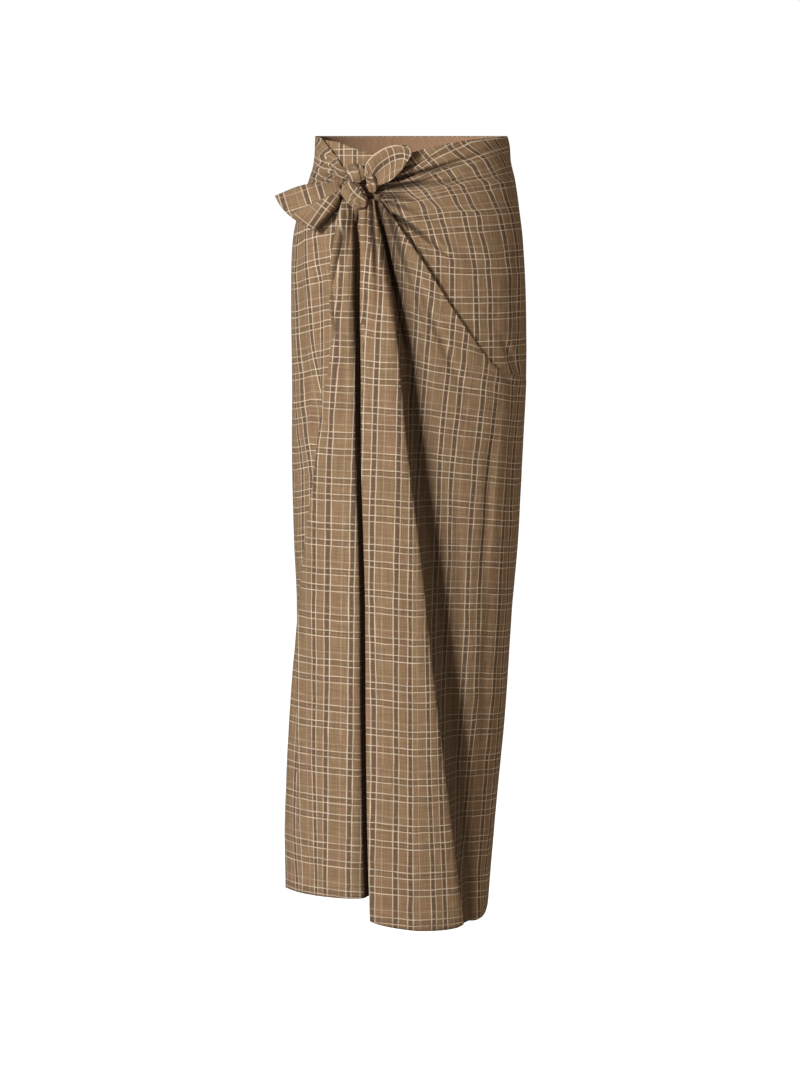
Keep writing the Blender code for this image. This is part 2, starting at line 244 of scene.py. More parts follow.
class Fade(Enum):
    """How a crease dies out along its length."""

    BOTH_ENDS = "both ends"
    FAR_END = "far end"
    NEAR_END = "near end"


@dataclass(frozen=True)
class Crease:
    """A trough pulled into the cloth, with soft shoulders; a negative depth makes a ridge."""

    start: tuple[float, float]
    end: tuple[float, float]
    depth: float
    width: float
    bow: float = 0.0
    fade: Fade = Fade.BOTH_ENDS
    shoulder: float = 0.8
    fade_power: float = 1.3

    def lift(self, x: np.ndarray, z: np.ndarray) -> np.ndarray:
        """How far the crease moves the cloth outwards.

        Args:
            x: place across the front.
            z: height.

        Returns:
            The lift, in millimetres, at each place.
        """
        run = np.subtract(self.end, self.start)
        length = np.hypot(*run)
        share = ((x - self.start[0]) * run[0] + (z - self.start[1]) * run[1]) / length**2
        across = ((x - self.start[0]) * run[1] - (z - self.start[1]) * run[0]) / length
        inside = np.clip(share, 0.0, 1.0)
        across = across - self.bow * 4 * inside * (1 - inside)
        beyond = (share - inside) * length
        away = np.sqrt(across**2 + beyond**2) / self.width
        if self.fade is Fade.BOTH_ENDS:
            strength = np.sin(pi * inside)
        elif self.fade is Fade.FAR_END:
            strength = np.cos(pi / 2 * inside) ** self.fade_power
        else:
            strength = np.sin(pi / 2 * inside) ** self.fade_power
        return -self.depth * strength * (1 - self.shoulder * away**2) * np.exp(-(away**2))


@dataclass(frozen=True)
class Yarn:
    """A yarn of the check.

    Attributes:
        at: where it lies across the weave for a warp yarn, or down it for a weft yarn.
        course: places of x and height, falling for a warp yarn and left to right for a weft yarn.
    """

    at: float
    course: Rows

    def x_at(self, height: np.ndarray) -> np.ndarray:
        """Place across the front at each height."""
        x, z = np.array(self.course, float).T
        return np.interp(-height, -z, x)

    def height_at(self, x: np.ndarray) -> np.ndarray:
        """Height at each place across the front."""
        across, z = np.array(self.course, float).T
        return np.interp(x, across, z)


def between_yarns(places: np.ndarray, courses: np.ndarray, values: np.ndarray) -> np.ndarray:
    """Value at each place, evenly spread between neighbouring yarns.

    Args:
        places: where to read, rising in the direction of the courses' order.
        courses: each yarn's place there, on the first axis.
        values: each yarn's value.

    Returns:
        The value at each place, held beyond the outer yarns.
    """
    low = np.clip((places[None] >= courses).sum(axis=0) - 1, 0, len(values) - 2)
    start = np.take_along_axis(courses, low[None], axis=0)[0]
    end = np.take_along_axis(courses, low[None] + 1, axis=0)[0]
    share = np.clip((places - start) / np.maximum(end - start, TINY), 0.0, 1.0)
    return values[low] + (values[low + 1] - values[low]) * share


@dataclass(frozen=True)
class Grain:
    """How the weave runs over the lines `first` to `last` of a panel, by charted yarns.

    Attributes:
        first: first line of the stretch.
        last: last line of the stretch.
        warps: warp yarns in their order along the panel's rows.
        wefts: weft yarns from the top down.
    """

    first: int
    last: int
    warps: tuple[Yarn, ...]
    wefts: tuple[Yarn, ...]

    def across(self, x: np.ndarray, height: np.ndarray, arc: np.ndarray) -> np.ndarray:
        """Place across the weave, measured along the cloth beyond the outer yarns.

        Args:
            x: place across the front.
            height: height in the frame.
            arc: length along each row of the surface.

        Returns:
            The place across the weave, in millimetres.
        """
        along_x = 1.0 if x[:, -1].mean() > x[:, 0].mean() else -1.0
        courses = np.stack([yarn.x_at(height) for yarn in self.warps]) * along_x
        values = np.array([yarn.at for yarn in self.warps], float)
        x = x * along_x
        sense = 1.0 if values[-1] >= values[0] else -1.0
        if len(values) > 1:
            found = between_yarns(x, courses, values)
        else:
            found = np.full(x.shape, values[0])
        for k in (0, -1):
            past = x - courses[k]
            outside = past < 0 if k == 0 else past > 0
            for row in np.flatnonzero(outside.any(axis=1)):
                crossing = self.crossing(past[row], arc[row])
                picked = outside[row]
                found[row, picked] = values[k] + sense * (arc[row, picked] - crossing)
        return found

    def crossing(self, past: np.ndarray, arc: np.ndarray) -> float:
        """Length along a row where it meets a yarn.

        Args:
            past: how far past the yarn each point of the row is.
            arc: length along the row.

        Returns:
            The length, carried straight on where the row stops short of the yarn.
        """
        if past[0] > 0:
            return float(arc[0] - past[0])
        if past[-1] < 0:
            return float(arc[-1] - past[-1])
        return float(arc[0] + np.interp(0.0, np.maximum.accumulate(past), arc - arc[0]))

    def down(self, x: np.ndarray, height: np.ndarray) -> np.ndarray:
        """Place down the weave.

        Args:
            x: place across the front.
            height: height in the frame.

        Returns:
            The place down the weave, in millimetres.
        """
        courses = np.stack([-yarn.height_at(x) for yarn in self.wefts])
        values = np.array([yarn.at for yarn in self.wefts], float)
        drop = -height
        found = between_yarns(drop, courses, values) if len(values) > 1 else np.full(x.shape, values[0])
        above, below = np.minimum(drop - courses[0], 0.0), np.maximum(drop - courses[-1], 0.0)
        return found + above + below


@dataclass(frozen=True)
class Ripple:
    """One size of the small uneven waves of real cloth, in millimetres."""

    reach: tuple[float, float, float]
    share: float

    def lift(self, points: np.ndarray, offset: tuple[float, float]) -> np.ndarray:
        """How far the waves move the cloth.

        Args:
            points: the surface.
            offset: where in the noise it starts, across and from front to back.

        Returns:
            The lift at each point, as a share of the panel's own ripple.
        """
        along_x, along_y, along_z = self.reach
        waves = [
            noise.noise(Vector((x / along_x + offset[0], y / along_y + offset[1], z / along_z)))
            for x, y, z in points.reshape(-1, 3)
        ]
        return self.share * np.array(waves).reshape(points.shape[:-1])


LONG_RIPPLE = Ripple((46.0, 60.0, 95.0), 1.0)
SHORT_RIPPLE = Ripple((17.0, 22.0, 30.0), 0.45)
OPEN_HOLLOW = 1.0  # a crease is shaded where it is deeper than this
GAUGES = 9  # places down two lines at which the gap between them is measured


@dataclass
class ClothPanel:
    """A thin wall of cloth through lines on the form, or in free space.

    Attributes:
        name: the piece's name.
        node: the solid that it stands for.
        body: the body that it rides on.
        slot: its material slot.
        lines: lines down the cloth, from its one side to the other.
        cell: size of a cell of the mesh.
        cell_length: how many times longer a cell is down the cloth.
        free: whether the lines are points of the frame, and not places on the form.
        creases: creases given one by one.
        grains: charts of the weave, for a panel on the form.
        turns: turn of the weave and its place across and down from each line on, for a free piece.
        relief: how much a free piece's weave also moves with its depth.
        weave_from: place across and down the weave of the last row's start, with no chart or turn.
        shades: extra depth of painted shade by line, as rows of line and depth; it darkens the colour and
            does not move the cloth.
        flat: width and length of the flat cloth, in metres.
        area: area of the flat cloth in square metres, where it isn't a rectangle.
        held: how the cloth is held.
        rests_on: pieces that it rests on.
        ripple: height of its ripples.
        seed: where in the noise its ripples start.
        seam_hold: how far from its first and last line a seam holds it smooth.
    """

    name: str = ""
    node: str = ""
    body: str = "root"
    slot: str = "check_cloth"
    lines: list[np.ndarray] = field(default_factory=list)
    cell: float = 4.0
    cell_length: float = 1.0
    free: bool = False
    creases: tuple[Crease, ...] = ()
    grains: tuple[Grain, ...] = ()
    turns: Rows = ()
    relief: float = 0.0
    weave_from: tuple[float, float] = (0.0, 0.0)
    shades: Rows = ((0, 0.0),)
    flat: tuple[float, float] = (0.4, 1.0)
    area: float | None = None
    held: str = "draped"
    rests_on: tuple[str, ...] = ()
    ripple: float = 0.5
    seed: float = 0.0
    seam_hold: tuple[float, float] = (0.0, 0.0)

    def to_frame(self, places: np.ndarray) -> np.ndarray:
        """Points of the frame, in millimetres, from this panel's places."""
        return places if self.free else FORM.points(places)

    def steps(self) -> list[int]:
        """Cells between neighbouring lines.

        Returns:
            How many cells lie between each line and the next one, at their widest.
        """
        counts = []
        shares = np.linspace(0, 1, GAUGES)
        for one, two in zip(self.lines, self.lines[1:]):
            gap = self.to_frame(along(two, shares)) - self.to_frame(along(one, shares))
            counts.append(max(1, round(float(np.linalg.norm(gap, axis=1).max()) / self.cell)))
        return counts

    def grid(self) -> tuple[np.ndarray, list[int]]:
        """Rows and columns of the surface.

        Returns:
            The places on the cloth, and the column of each line.
        """
        longest = max(float(lengths_along(self.to_frame(line), 0)[-1]) for line in self.lines)
        rows = round(longest / (self.cell * self.cell_length))
        shares = np.linspace(0, 1, rows + 1)
        stations = np.stack([along(line, shares) for line in self.lines], axis=1)
        counts = self.steps()
        between = [i + np.arange(count) / count for i, count in enumerate(counts)]
        positions = np.concatenate([*between, [len(counts)]])
        return on_curve(stations, positions), [0, *np.cumsum(counts).tolist()]

    def ripples(self, points: np.ndarray) -> np.ndarray:
        """Small uneven lift that real cloth has between its folds.

        Args:
            points: the surface without its folds' creases.

        Returns:
            The lift at each point, in millimetres.
        """
        long = LONG_RIPPLE.lift(points, (self.seed, 0.0))
        return self.ripple * (long + SHORT_RIPPLE.lift(points, (0.0, self.seed)))

    def weave(self, points: np.ndarray, columns: list[int]) -> np.ndarray:
        """Weave by the panel's charts.

        Args:
            points: the surface without its creases.
            columns: the column of each line.

        Returns:
            Place of each point across and down the woven cloth, in millimetres.
        """
        arc = lengths_along(points, 1)
        height, x = points[..., 2], points[..., 0]
        cloth = np.full(points.shape[:2] + (2,), np.nan)
        for grain in self.grains:
            part = slice(columns[grain.first], columns[grain.last] + 1)
            cloth[:, part, 0] = grain.across(x[:, part], height[:, part], arc[:, part])
            cloth[:, part, 1] = grain.down(x[:, part], height[:, part])
        self.bridge(cloth, arc)
        return cloth

    def bridge(self, cloth: np.ndarray, arc: np.ndarray) -> None:
        """Fills the stretches between charts evenly, in place.

        Args:
            cloth: place of each point on the weave, with gaps.
            arc: length along each row.
        """
        known = np.flatnonzero(~np.isnan(cloth[0, :, 0]))
        for row in range(len(cloth)):
            for k in (0, 1):
                cloth[row, :, k] = np.interp(arc[row], arc[row, known], cloth[row, known, k])

    def build(self, material: bpy.types.Material) -> bpy.types.Object:
        """Args:
            material: the cloth's material.

        Returns:
            The finished object.
        """
        places, columns = self.grid()
        smooth = self.to_frame(places)
        lift = self.ripples(smooth)
        for crease in self.creases:
            lift = lift + crease.lift(smooth[..., 0], smooth[..., 2])
        lift = lift * self.slack(smooth)
        points = self.raised(places, smooth, lift)
        if self.grains:
            cloth = self.weave(smooth, columns)
        elif self.turns:
            cloth = self.free_weave(points, columns)
        else:
            cloth = self.plain_weave(smooth)
        # Painted shade: depth of each crease below its open edge, plus each line's listed shade depth; the
        # material turns it into darker colour
        lines, deeps = np.array(self.shades, float).T
        line_at = np.interp(np.arange(points.shape[1]), columns, np.arange(len(columns)))
        hollow = np.maximum(-lift - OPEN_HOLLOW, 0.0) + np.interp(line_at, lines, deeps)
        return self.finish(points, cloth, hollow, material)

    def slack(self, points: np.ndarray) -> np.ndarray:
        """How freely the cloth may lift.

        Args:
            points: the surface without its creases.

        Returns:
            A share for each point, from nothing on a held seam to all beyond the seam's hold.
        """
        arc = lengths_along(points, 1)
        first, last = self.seam_hold
        free_of_first = arc / first if first else 1.0
        free_of_last = (arc[:, -1:] - arc) / last if last else 1.0
        return np.clip(np.minimum(free_of_first, free_of_last), 0.0, 1.0)

    def raised(self, places: np.ndarray, smooth: np.ndarray, lift: np.ndarray) -> np.ndarray:
        """The surface moved outwards by its creases and ripples.

        Args:
            places: the surface's places.
            smooth: the same as points of the frame.
            lift: how far each point moves.

        Returns:
            The moved points, in millimetres.
        """
        if not self.free:
            places = places.copy()
            places[..., 2] += lift
            return self.to_frame(places)
        out = np.cross(np.gradient(smooth, axis=0), np.gradient(smooth, axis=1))
        out /= np.maximum(np.linalg.norm(out, axis=-1, keepdims=True), TINY)
        return smooth + out * lift[..., None]

    def free_weave(self, points: np.ndarray, columns: list[int]) -> np.ndarray:
        """Weave of a piece in free space, turned as seen from the front.

        Args:
            points: the surface.
            columns: the column of each line.

        Returns:
            Place of each point across and down the woven cloth, in millimetres.
        """
        nearest = np.searchsorted(columns, np.arange(points.shape[1]), side="right") - 1
        turn, u0, v0 = np.array(self.turns, float)[nearest].T
        turn = np.radians(turn)
        x, y, z = np.moveaxis(points, -1, 0)
        relief = (y - y.mean()) * self.relief
        u = np.cos(turn) * x + np.sin(turn) * z + u0 + relief
        v = np.sin(turn) * x - np.cos(turn) * z + v0 + relief
        return np.stack([u, v], axis=-1)

    def plain_weave(self, points: np.ndarray) -> np.ndarray:
        """Weave measured along the surface from the first line and the last row.

        Args:
            points: the surface.

        Returns:
            Place of each point across and down the woven cloth, in millimetres.
        """
        first, last = self.weave_from
        return np.stack([first - lengths_along(points, 1), last - self.hem_distance(points)], axis=-1)

    def finish(
        self, points: np.ndarray, cloth: np.ndarray, hollow: np.ndarray, material: bpy.types.Material
    ) -> bpy.types.Object:
        """Mesh, weave map and wall of the panel.

        Args:
            points: rows and columns of the surface, in millimetres.
            cloth: place of each point across and down the weave, in millimetres.
            hollow: how deep each point lies in a fold, in millimetres, which the material paints as shade.
            material: the cloth's material.

        Returns:
            The finished object.
        """
        rows, across = points.shape[0] - 1, points.shape[1] - 1
        bm = bmesh.new()
        bmesh.ops.create_grid(bm, x_segments=across, y_segments=rows, size=1.0)
        order = np.zeros((len(bm.verts), 2), int)
        for vertex in bm.verts:
            column = round((vertex.co.x + 1) / 2 * across)
            row = round((1 - vertex.co.y) / 2 * rows)
            order[vertex.index] = row, column
            vertex.co = points[row, column] * MM
        mesh = bpy.data.meshes.new(self.name)
        bm.to_mesh(mesh)
        bm.free()
        corner = np.zeros(len(mesh.loops), int)
        mesh.loops.foreach_get("vertex_index", corner)
        place = order[corner]
        weave = mesh.uv_layers.new(name="weave")
        weave.data.foreach_set("uv", (cloth[place[:, 0], place[:, 1]] * MM).astype(np.float32).ravel())
        # The edge map holds the distance to the hem and the depth of painted shade
        edge = mesh.uv_layers.new(name="edge")
        beside = np.stack([self.hem_distance(points), hollow], axis=-1)[place[:, 0], place[:, 1]] * MM
        edge.data.foreach_set("uv", beside.astype(np.float32).ravel())
        mesh.materials.append(material)
        mesh.shade_smooth()
        piece = bpy.data.objects.new(self.name, mesh)
        bpy.context.scene.collection.objects.link(piece)
        wall = piece.modifiers.new("wall", "SOLIDIFY")
        wall.thickness = WALL * MM
        wall.offset = -1.0
        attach(piece, self.body)
        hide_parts(self.node)
        LOG.info("%s: %d cells, cloth %.0f x %.0f mm", self.name, rows * across, *self.spread(points))
        return piece

    def hem_distance(self, points: np.ndarray) -> np.ndarray:
        """Distance of each point from the panel's lower edge, in millimetres."""
        return lengths_along(points[::-1], 0)[::-1]

    def spread(self, points: np.ndarray) -> tuple[float, float]:
        """Widest row and longest column of the surface, in millimetres."""
        return float(lengths_along(points, 1)[:, -1].max()), float(lengths_along(points, 0)[-1].max())


SMOOTH_HEIGHTS = (0.0, -95.0, -223.0, -442.0, -700.0)
# The waist's rounded corner at the right seam: rows of height and proud
CORNER = ((-14.0, 1.2), (-32.0, 0.0))


def smooth_rows(hem: float) -> Rows:
    """Rows of height and proud of a line that lies on the form from the waist to a hem."""
    return tuple((height, 0.0) for height in (*SMOOTH_HEIGHTS, hem))


def seam_angle(seam: float, side: int) -> float:
    """Angle of the edge that stands half the seam gap off a side seam."""
    return seam + side * SEAM_GAP / 2 / UNROLLED_RADIUS * 180 / pi


# How the check runs, as yarns: the middle of each dark warp stripe, and cream lines of the weft groups.
# A course's rows are x and height in millimetres.
HIP_WARPS = (
    Yarn(0, ((-33, -70), (-23, -84), (-15, -104), (-11, -113), (8, -160))),
    Yarn(
        32.5,
        (
            (-30, -44), (-19, -60), (-12, -68), (-1, -78), (12, -86), (17, -97), (22, -113), (27, -133),
            (34, -150), (35, -168), (35, -218),
        ),
    ),
    Yarn(
        52.5,
        (
            (-16, -41), (-7, -54), (0, -60), (8, -66), (17, -73), (25, -85), (35, -94), (39, -106),
            (45, -127), (51, -147), (54, -168), (54, -245),
        ),
    ),
    Yarn(
        85,
        (
            (-6, -25), (2, -36), (12, -47), (28, -48.5), (33, -54), (40, -62), (49, -67), (56, -78),
            (59, -87), (64, -95), (70, -102), (72, -114), (74, -124), (80, -147), (85, -169), (86, -205),
            (88, -264), (88, -279),
        ),
    ),
    Yarn(
        105,
        (
            (12, -19), (24, -32), (32, -41), (47, -42), (52, -50), (57, -58), (69, -68), (74, -77), (78, -87),
            (82, -95), (89, -103), (91, -114), (92, -124), (98, -147), (103, -169), (105, -207), (107, -300),
        ),
    ),
    Yarn(
        137.5,
        (
            (49, -13), (57, -20), (66, -28), (77, -32), (84, -42), (90, -53), (99, -60), (103, -69),
            (106, -77), (110, -87), (114, -96), (118, -103), (121, -114), (126, -136), (130, -170),
            (134, -191), (134, -243), (133, -278), (131, -301), (137, -322),
        ),
    ),
    Yarn(
        157.5,
        (
            (69, -8), (77, -15), (86, -21), (96, -26), (104, -37), (109, -47), (114, -56), (120, -60),
            (123, -66), (126, -77), (129, -88), (135, -103), (139, -125), (143, -148), (144, -170),
            (146, -191), (146, -255), (144, -278), (143, -290), (147, -322),
        ),
    ),
)
HIP_WEFTS = (
    Yarn(-61, ((-15, -54), (21, -31), (26, -25), (47, -13), (80, 6))),
    Yarn(
        -39,
        (
            (-40, -67), (1, -58), (31, -45), (46, -40), (58, -36), (76, -32), (99, -24), (122, -17),
            (150, -10),
        ),
    ),
    Yarn(0, ((-44, -74), (14, -72), (42, -66), (58, -61), (73, -56), (105, -50), (117, -45), (139, -39))),
    Yarn(22, ((-44, -85), (5, -82), (24, -78), (48, -73), (65, -71), (93, -67), (119, -63), (140, -60))),
    Yarn(61, ((-20, -109), (32, -103), (64, -100), (99, -98), (146, -95))),
    Yarn(91.5, ((0, -134), (17, -132), (57, -129), (93, -128), (126, -126), (150, -125))),
    Yarn(
        122,
        (
            (0, -146), (22, -150), (35, -152), (49, -155.5), (80, -157), (117, -157), (132, -154.5),
            (154, -154),
        ),
    ),
    Yarn(144, ((38, -173), (57, -175), (84, -176.5), (154, -176.5))),
    Yarn(183, ((42, -214), (84, -215), (126, -215.5), (156, -215))),
    Yarn(244, ((84, -274.5), (156, -274.5))),
    Yarn(274.5, ((111, -304), (124, -305), (141, -303), (158, -303.5))),
)
LEFT_WARPS = (
    Yarn(
        32.5,
        (
            (-126, -6), (-138, -24), (-146, -58), (-152, -100), (-153, -127), (-157, -153), (-159, -189),
            (-158, -210), (-156, -274), (-154, -301), (-151, -322), (-150, -363), (-146, -387),
            (-144, -408), (-139, -437), (-136, -460),
        ),
    ),
    Yarn(
        0,
        (
            (-100, -8), (-113, -16.5), (-124, -26), (-120, -33), (-125, -39), (-128.5, -43), (-132, -51),
            (-133.5, -59), (-140, -90), (-144, -127), (-144, -152), (-143, -178), (-139, -214),
            (-136, -254), (-134, -274), (-129, -301), (-121, -335), (-112, -370),
        ),
    ),
    Yarn(
        -20,
        (
            (-84, -18), (-101, -31), (-109, -35.5), (-108, -50), (-111.5, -55), (-124, -90), (-131, -134),
            (-129, -163), (-127, -175), (-123, -196), (-122, -240),
        ),
    ),
)
LEFT_WEFTS = (
    Yarn(-113.7, ((-140, -30), (-131.6, -36), (-125, -41), (-108, -46), (-101, -52), (-84, -60))),
    Yarn(-99.8, ((-145, -41), (-135, -47), (-118, -55.5), (-102, -62), (-84, -68))),
    Yarn(-91.5, ((-145, -50), (-136, -56), (-119, -63), (-84, -74))),
    Yarn(-61, ((-158, -92), (-130, -88), (-84, -96))),
    Yarn(-30.5, ((-158, -149), (-145, -140), (-129, -135), (-112, -132), (-104, -130))),
    Yarn(0, ((-160, -177), (-144, -170), (-133, -166), (-106, -160))),
    Yarn(61, ((-162, -238), (-141, -231), (-126, -227), (-115, -224))),
    Yarn(122, ((-163, -301), (-144, -295), (-128, -289), (-110, -284))),
    Yarn(183, ((-160, -362), (-149, -358), (-137, -354))),
)
PLEAT_WARPS = (
    Yarn(85, ((-158, -600), (-157, -684), (-156, -847), (-155, -929), (-152, -998))),
    Yarn(
        52.5,
        (
            (-122, -380), (-128, -408), (-131, -455), (-132.5, -570), (-132, -761), (-133, -843),
            (-130, -993),
        ),
    ),
    Yarn(
        32.5,
        (
            (-89, -130), (-91, -151), (-93, -185), (-96, -218), (-100, -251), (-102, -297), (-105.5, -332),
            (-109, -392), (-111, -433), (-113, -514), (-115, -623), (-116, -759), (-118.5, -991),
        ),
    ),
    Yarn(
        0,
        (
            (-72, -120), (-72.5, -270), (-73.6, -361), (-76.6, -432), (-79, -512), (-81, -620), (-82, -756),
            (-85, -987),
        ),
    ),
)
PLEAT_WEFTS = (
    Yarn(0, ((-103, -150),)),
    Yarn(183, ((-103, -333),)),
    Yarn(366, ((-103, -518),)),
    Yarn(549, ((-103, -703),)),
    Yarn(732, ((-103, -890),)),
    Yarn(854, ((-103, -1017),)),
)
CENTRE_WARPS = (
    Yarn(
        -20,
        (
            (-56, -120), (-57, -151), (-60, -184), (-62, -217), (-65.6, -277), (-67, -337), (-69, -400),
            (-72, -500), (-75, -1060),
        ),
    ),
    Yarn(
        0,
        (
            (-39, -130), (-41, -171), (-41, -205), (-44, -250), (-46, -290), (-49, -370), (-50.5, -423),
            (-53, -510), (-54, -618), (-52.5, -672), (-51, -753), (-50, -834), (-52, -916), (-53, -984),
        ),
    ),
    Yarn(32.5, ((-15, -250), (-15, -310), (-17, -409), (-18, -469), (-21, -617), (-21, -887), (-22, -983))),
    Yarn(52.5, ((0, -450), (-1, -563), (-1.6, -617), (-1.8, -752), (-1.5, -983))),
    Yarn(85, ((20, -650), (21, -725), (22, -752), (23, -833), (26, -915), (29, -984), (31, -1060))),
    Yarn(105, ((37, -800), (39, -862), (40, -916), (43.5, -985), (46, -1060))),
)
CENTRE_WEFTS = (
    Yarn(-61, ((-61, -109), (-45, -113), (-29, -116))),
    Yarn(0, ((-64, -171), (-47, -174), (-32, -177))),
    Yarn(61, ((-64, -232), (-48, -235), (-26, -238))),
    Yarn(122, ((-68, -296.5), (-49, -299), (-42, -299.6), (-18, -299.7))),
    Yarn(183, ((-65, -358.6), (-52, -359.2), (-20, -361.4), (-12, -362.8))),
    Yarn(244, ((-65, -420.4), (-54, -420.4), (-20, -422), (-9, -424))),
    Yarn(427, ((-50, -604), (-24, -606), (1, -608.6))),
    Yarn(610, ((-51, -791), (-24, -793), (1, -795.6))),
    Yarn(854, ((-51, -1047), (-24, -1049), (1, -1052))),
)
DRAPE_WARPS = (
    Yarn(
        32.5,
        (
            (13, -140), (9, -184), (6, -217), (5.5, -251), (3.7, -278), (2.4, -305), (0, -338), (-2, -380),
        ),
    ),
    Yarn(
        52.5,
        (
            (33, -140), (28, -184), (26, -218), (23, -251), (21, -278), (19, -304), (17, -331), (15, -358),
            (12.5, -392), (9, -426), (5, -480),
        ),
    ),
    Yarn(
        85,
        (
            (62, -180), (57, -238), (55, -251), (53, -278), (50, -305), (47, -332), (44, -358), (41, -392),
            (38, -433), (37.5, -473), (35.5, -514), (33, -568), (30, -640),
        ),
    ),
    Yarn(
        105,
        (
            (76, -240), (72.5, -272), (69.5, -305), (66, -332), (63, -359), (59, -392), (55, -433),
            (52, -473.5), (51.5, -569), (48.5, -623), (45, -677), (42, -760),
        ),
    ),
    Yarn(
        137.5,
        (
            (101, -302), (97, -333), (95, -360), (91, -394), (86, -434), (83.5, -475), (80, -515), (77, -570),
            (76, -624), (75, -679), (68.5, -761), (63, -844), (60, -1060),
        ),
    ),
    Yarn(
        157.5,
        (
            (118, -314), (115, -334), (113, -361), (110, -394), (105, -435), (101, -476), (99, -516),
            (95, -571), (91.5, -625), (90, -680), (88, -763), (79, -845), (72, -928), (65, -993),
        ),
    ),
    Yarn(
        190,
        (
            (139, -324), (137.5, -362), (135, -396), (132, -437), (129, -478), (126, -519), (123, -574),
            (121, -629), (117, -684), (112, -767), (104, -849), (98, -933), (94, -1003),
        ),
    ),
    Yarn(
        210,
        (
            (149, -323), (145, -363), (142, -397), (140, -438), (138, -479), (136, -520), (132, -575),
            (131, -631), (127, -686), (123, -769), (116, -853), (110, -937), (102, -1006),
        ),
    ),
)
DRAPE_WEFTS = (
    Yarn(-61, ((-13, -109), (0, -114), (20, -122))),
    Yarn(0, ((-20, -170), (5, -177), (20, -182), (40, -189))),
    Yarn(61, ((-17, -231), (1, -235), (20, -241), (35, -246), (52, -249), (65, -252), (90, -260))),
    Yarn(83, ((-14, -256), (2, -258), (34, -267), (51, -271), (69, -275), (87, -281), (110, -290))),
    Yarn(122, ((-11, -295), (17, -302), (47, -308), (82, -315), (117, -323), (134, -327), (156, -331))),
    Yarn(144, ((-4, -319), (30, -327.5), (63, -334), (95, -339), (134, -349), (156, -353))),
    Yarn(183, ((20, -364), (45, -368), (95, -376), (148, -386))),
    Yarn(244, ((20, -423), (48, -427), (96, -434), (145, -444))),
    Yarn(305, ((51, -487), (96, -493), (143, -502))),
    Yarn(366, ((54, -549), (97, -552), (140, -558))),
    Yarn(427, ((55, -607), (95, -609), (137, -616))),
    Yarn(549, ((58, -723), (93, -725.5), (129, -733))),
    Yarn(671, ((65, -839), (92, -840), (120, -844))),
    Yarn(854, ((76, -1008.5), (90, -1010), (105, -1014))),
)
BACK_WARPS = (Yarn(9, ((0, 0),)),)
BACK_WEFTS = (Yarn(61, ((0, -93),)), Yarn(305, ((0, -338),)), Yarn(1037, ((0, -1070),)))
UNDER_WARPS = (Yarn(32.5, ((-94.5, 0),)), Yarn(52.5, ((-76, 0),)))
UNDER_WEFTS = (Yarn(22, ((0, -17.4),)),)


@dataclass
class BackPanel(ClothPanel):
    """Back from side seam to side seam, with soft folds that open towards the hem."""

    name: str = "back_cloth"
    node: str = "back_panel"
    cell: float = 5.0
    flat: tuple[float, float] = (0.44, 1.045)
    ripple: float = 1.1
    seed: float = 3.7
    seam_hold: tuple[float, float] = (14.0, 14.0)
    seam_top: float = -5.0
    corner_top: float = -1.5
    corner_turn: float = 2.5
    folds: Rows = (
        (104, 2), (115, 5), (127, -3), (138, -5), (150, 3), (160, 8), (171, 0), (182, -4), (193, 2),
        (204, 7), (215, -1), (226, -6), (237, 2), (248, 5), (259, 0),
    )
    folds_start: float = -210.0

    def __post_init__(self) -> None:
        """Draws the lines."""
        below = smooth_rows(HEM_RIGHT)[1:]
        heights = (*SMOOTH_HEIGHTS, HEM_BACK)
        opened = [max(0.0, (self.folds_start - z) / (self.folds_start - HEM_BACK)) for z in heights]
        self.lines = [
            turned_line(seam_angle(RIGHT_SEAM, 1), ((self.seam_top, 0), *CORNER, *below)),
            turned_line(seam_angle(RIGHT_SEAM, 1) + self.corner_turn, ((self.corner_top, 0), *below)),
        ]
        for angle, lift in self.folds:
            rows = tuple((z, lift * share) for z, share in zip(heights, opened))
            self.lines.append(turned_line(angle, rows))
        self.lines.append(turned_line(seam_angle(360 + LEFT_SEAM, -1), smooth_rows(HEM_LEFT)))
        last = len(self.lines) - 1
        self.grains = (Grain(0, last, BACK_WARPS, BACK_WEFTS),)


@dataclass
class BackFacing(ClothPanel):
    """Plain strip inside the back of the waist."""

    name: str = "back_waist_facing"
    node: str = "back_facing"
    slot: str = "facing_cloth"
    cell: float = 3.0
    flat: tuple[float, float] = (0.33, 0.046)
    ripple: float = 0.25
    top: float = -1.0
    depth: float = 46.0
    angles: tuple[float, ...] = (95, 123, 151, 180, 209, 237, 265)

    def __post_init__(self) -> None:
        """Draws the lines."""
        heights = (self.top, -self.depth / 2, -self.depth)
        rows = tuple((height, -LAYER) for height in heights)
        self.lines = [turned_line(angle, rows) for angle in self.angles]


@dataclass
class UnderFront(ClothPanel):
    """Inner front of the wrap, whose top edge dips in the middle."""

    name: str = "under_front_cloth"
    node: str = "under_front"
    cell: float = 4.0
    flat: tuple[float, float] = (0.235, 0.27)
    ripple: float = 0.3
    upper: float = 60.0
    end: float = -270.0
    top: Rows = (
        (-124, -4, -3.5), (-112, -6, -3.5), (-96, -9, -3.5), (-82, -14.5, -3.5), (-66, -20, -3.5),
        (-46, -23, -5.5), (-20, -25, -9.5), (10, -25, -10.5), (45, -18, -10.5), (80, -10, -10.5),
    )

    def __post_init__(self) -> None:
        """Draws the lines."""
        self.lines = [
            FORM.front_line(((x, top, inside), (x, top - self.upper, inside), (x, self.end, inside)))
            for x, top, inside in self.top
        ]
        self.grains = (Grain(0, len(self.lines) - 1, UNDER_WARPS, UNDER_WEFTS),)


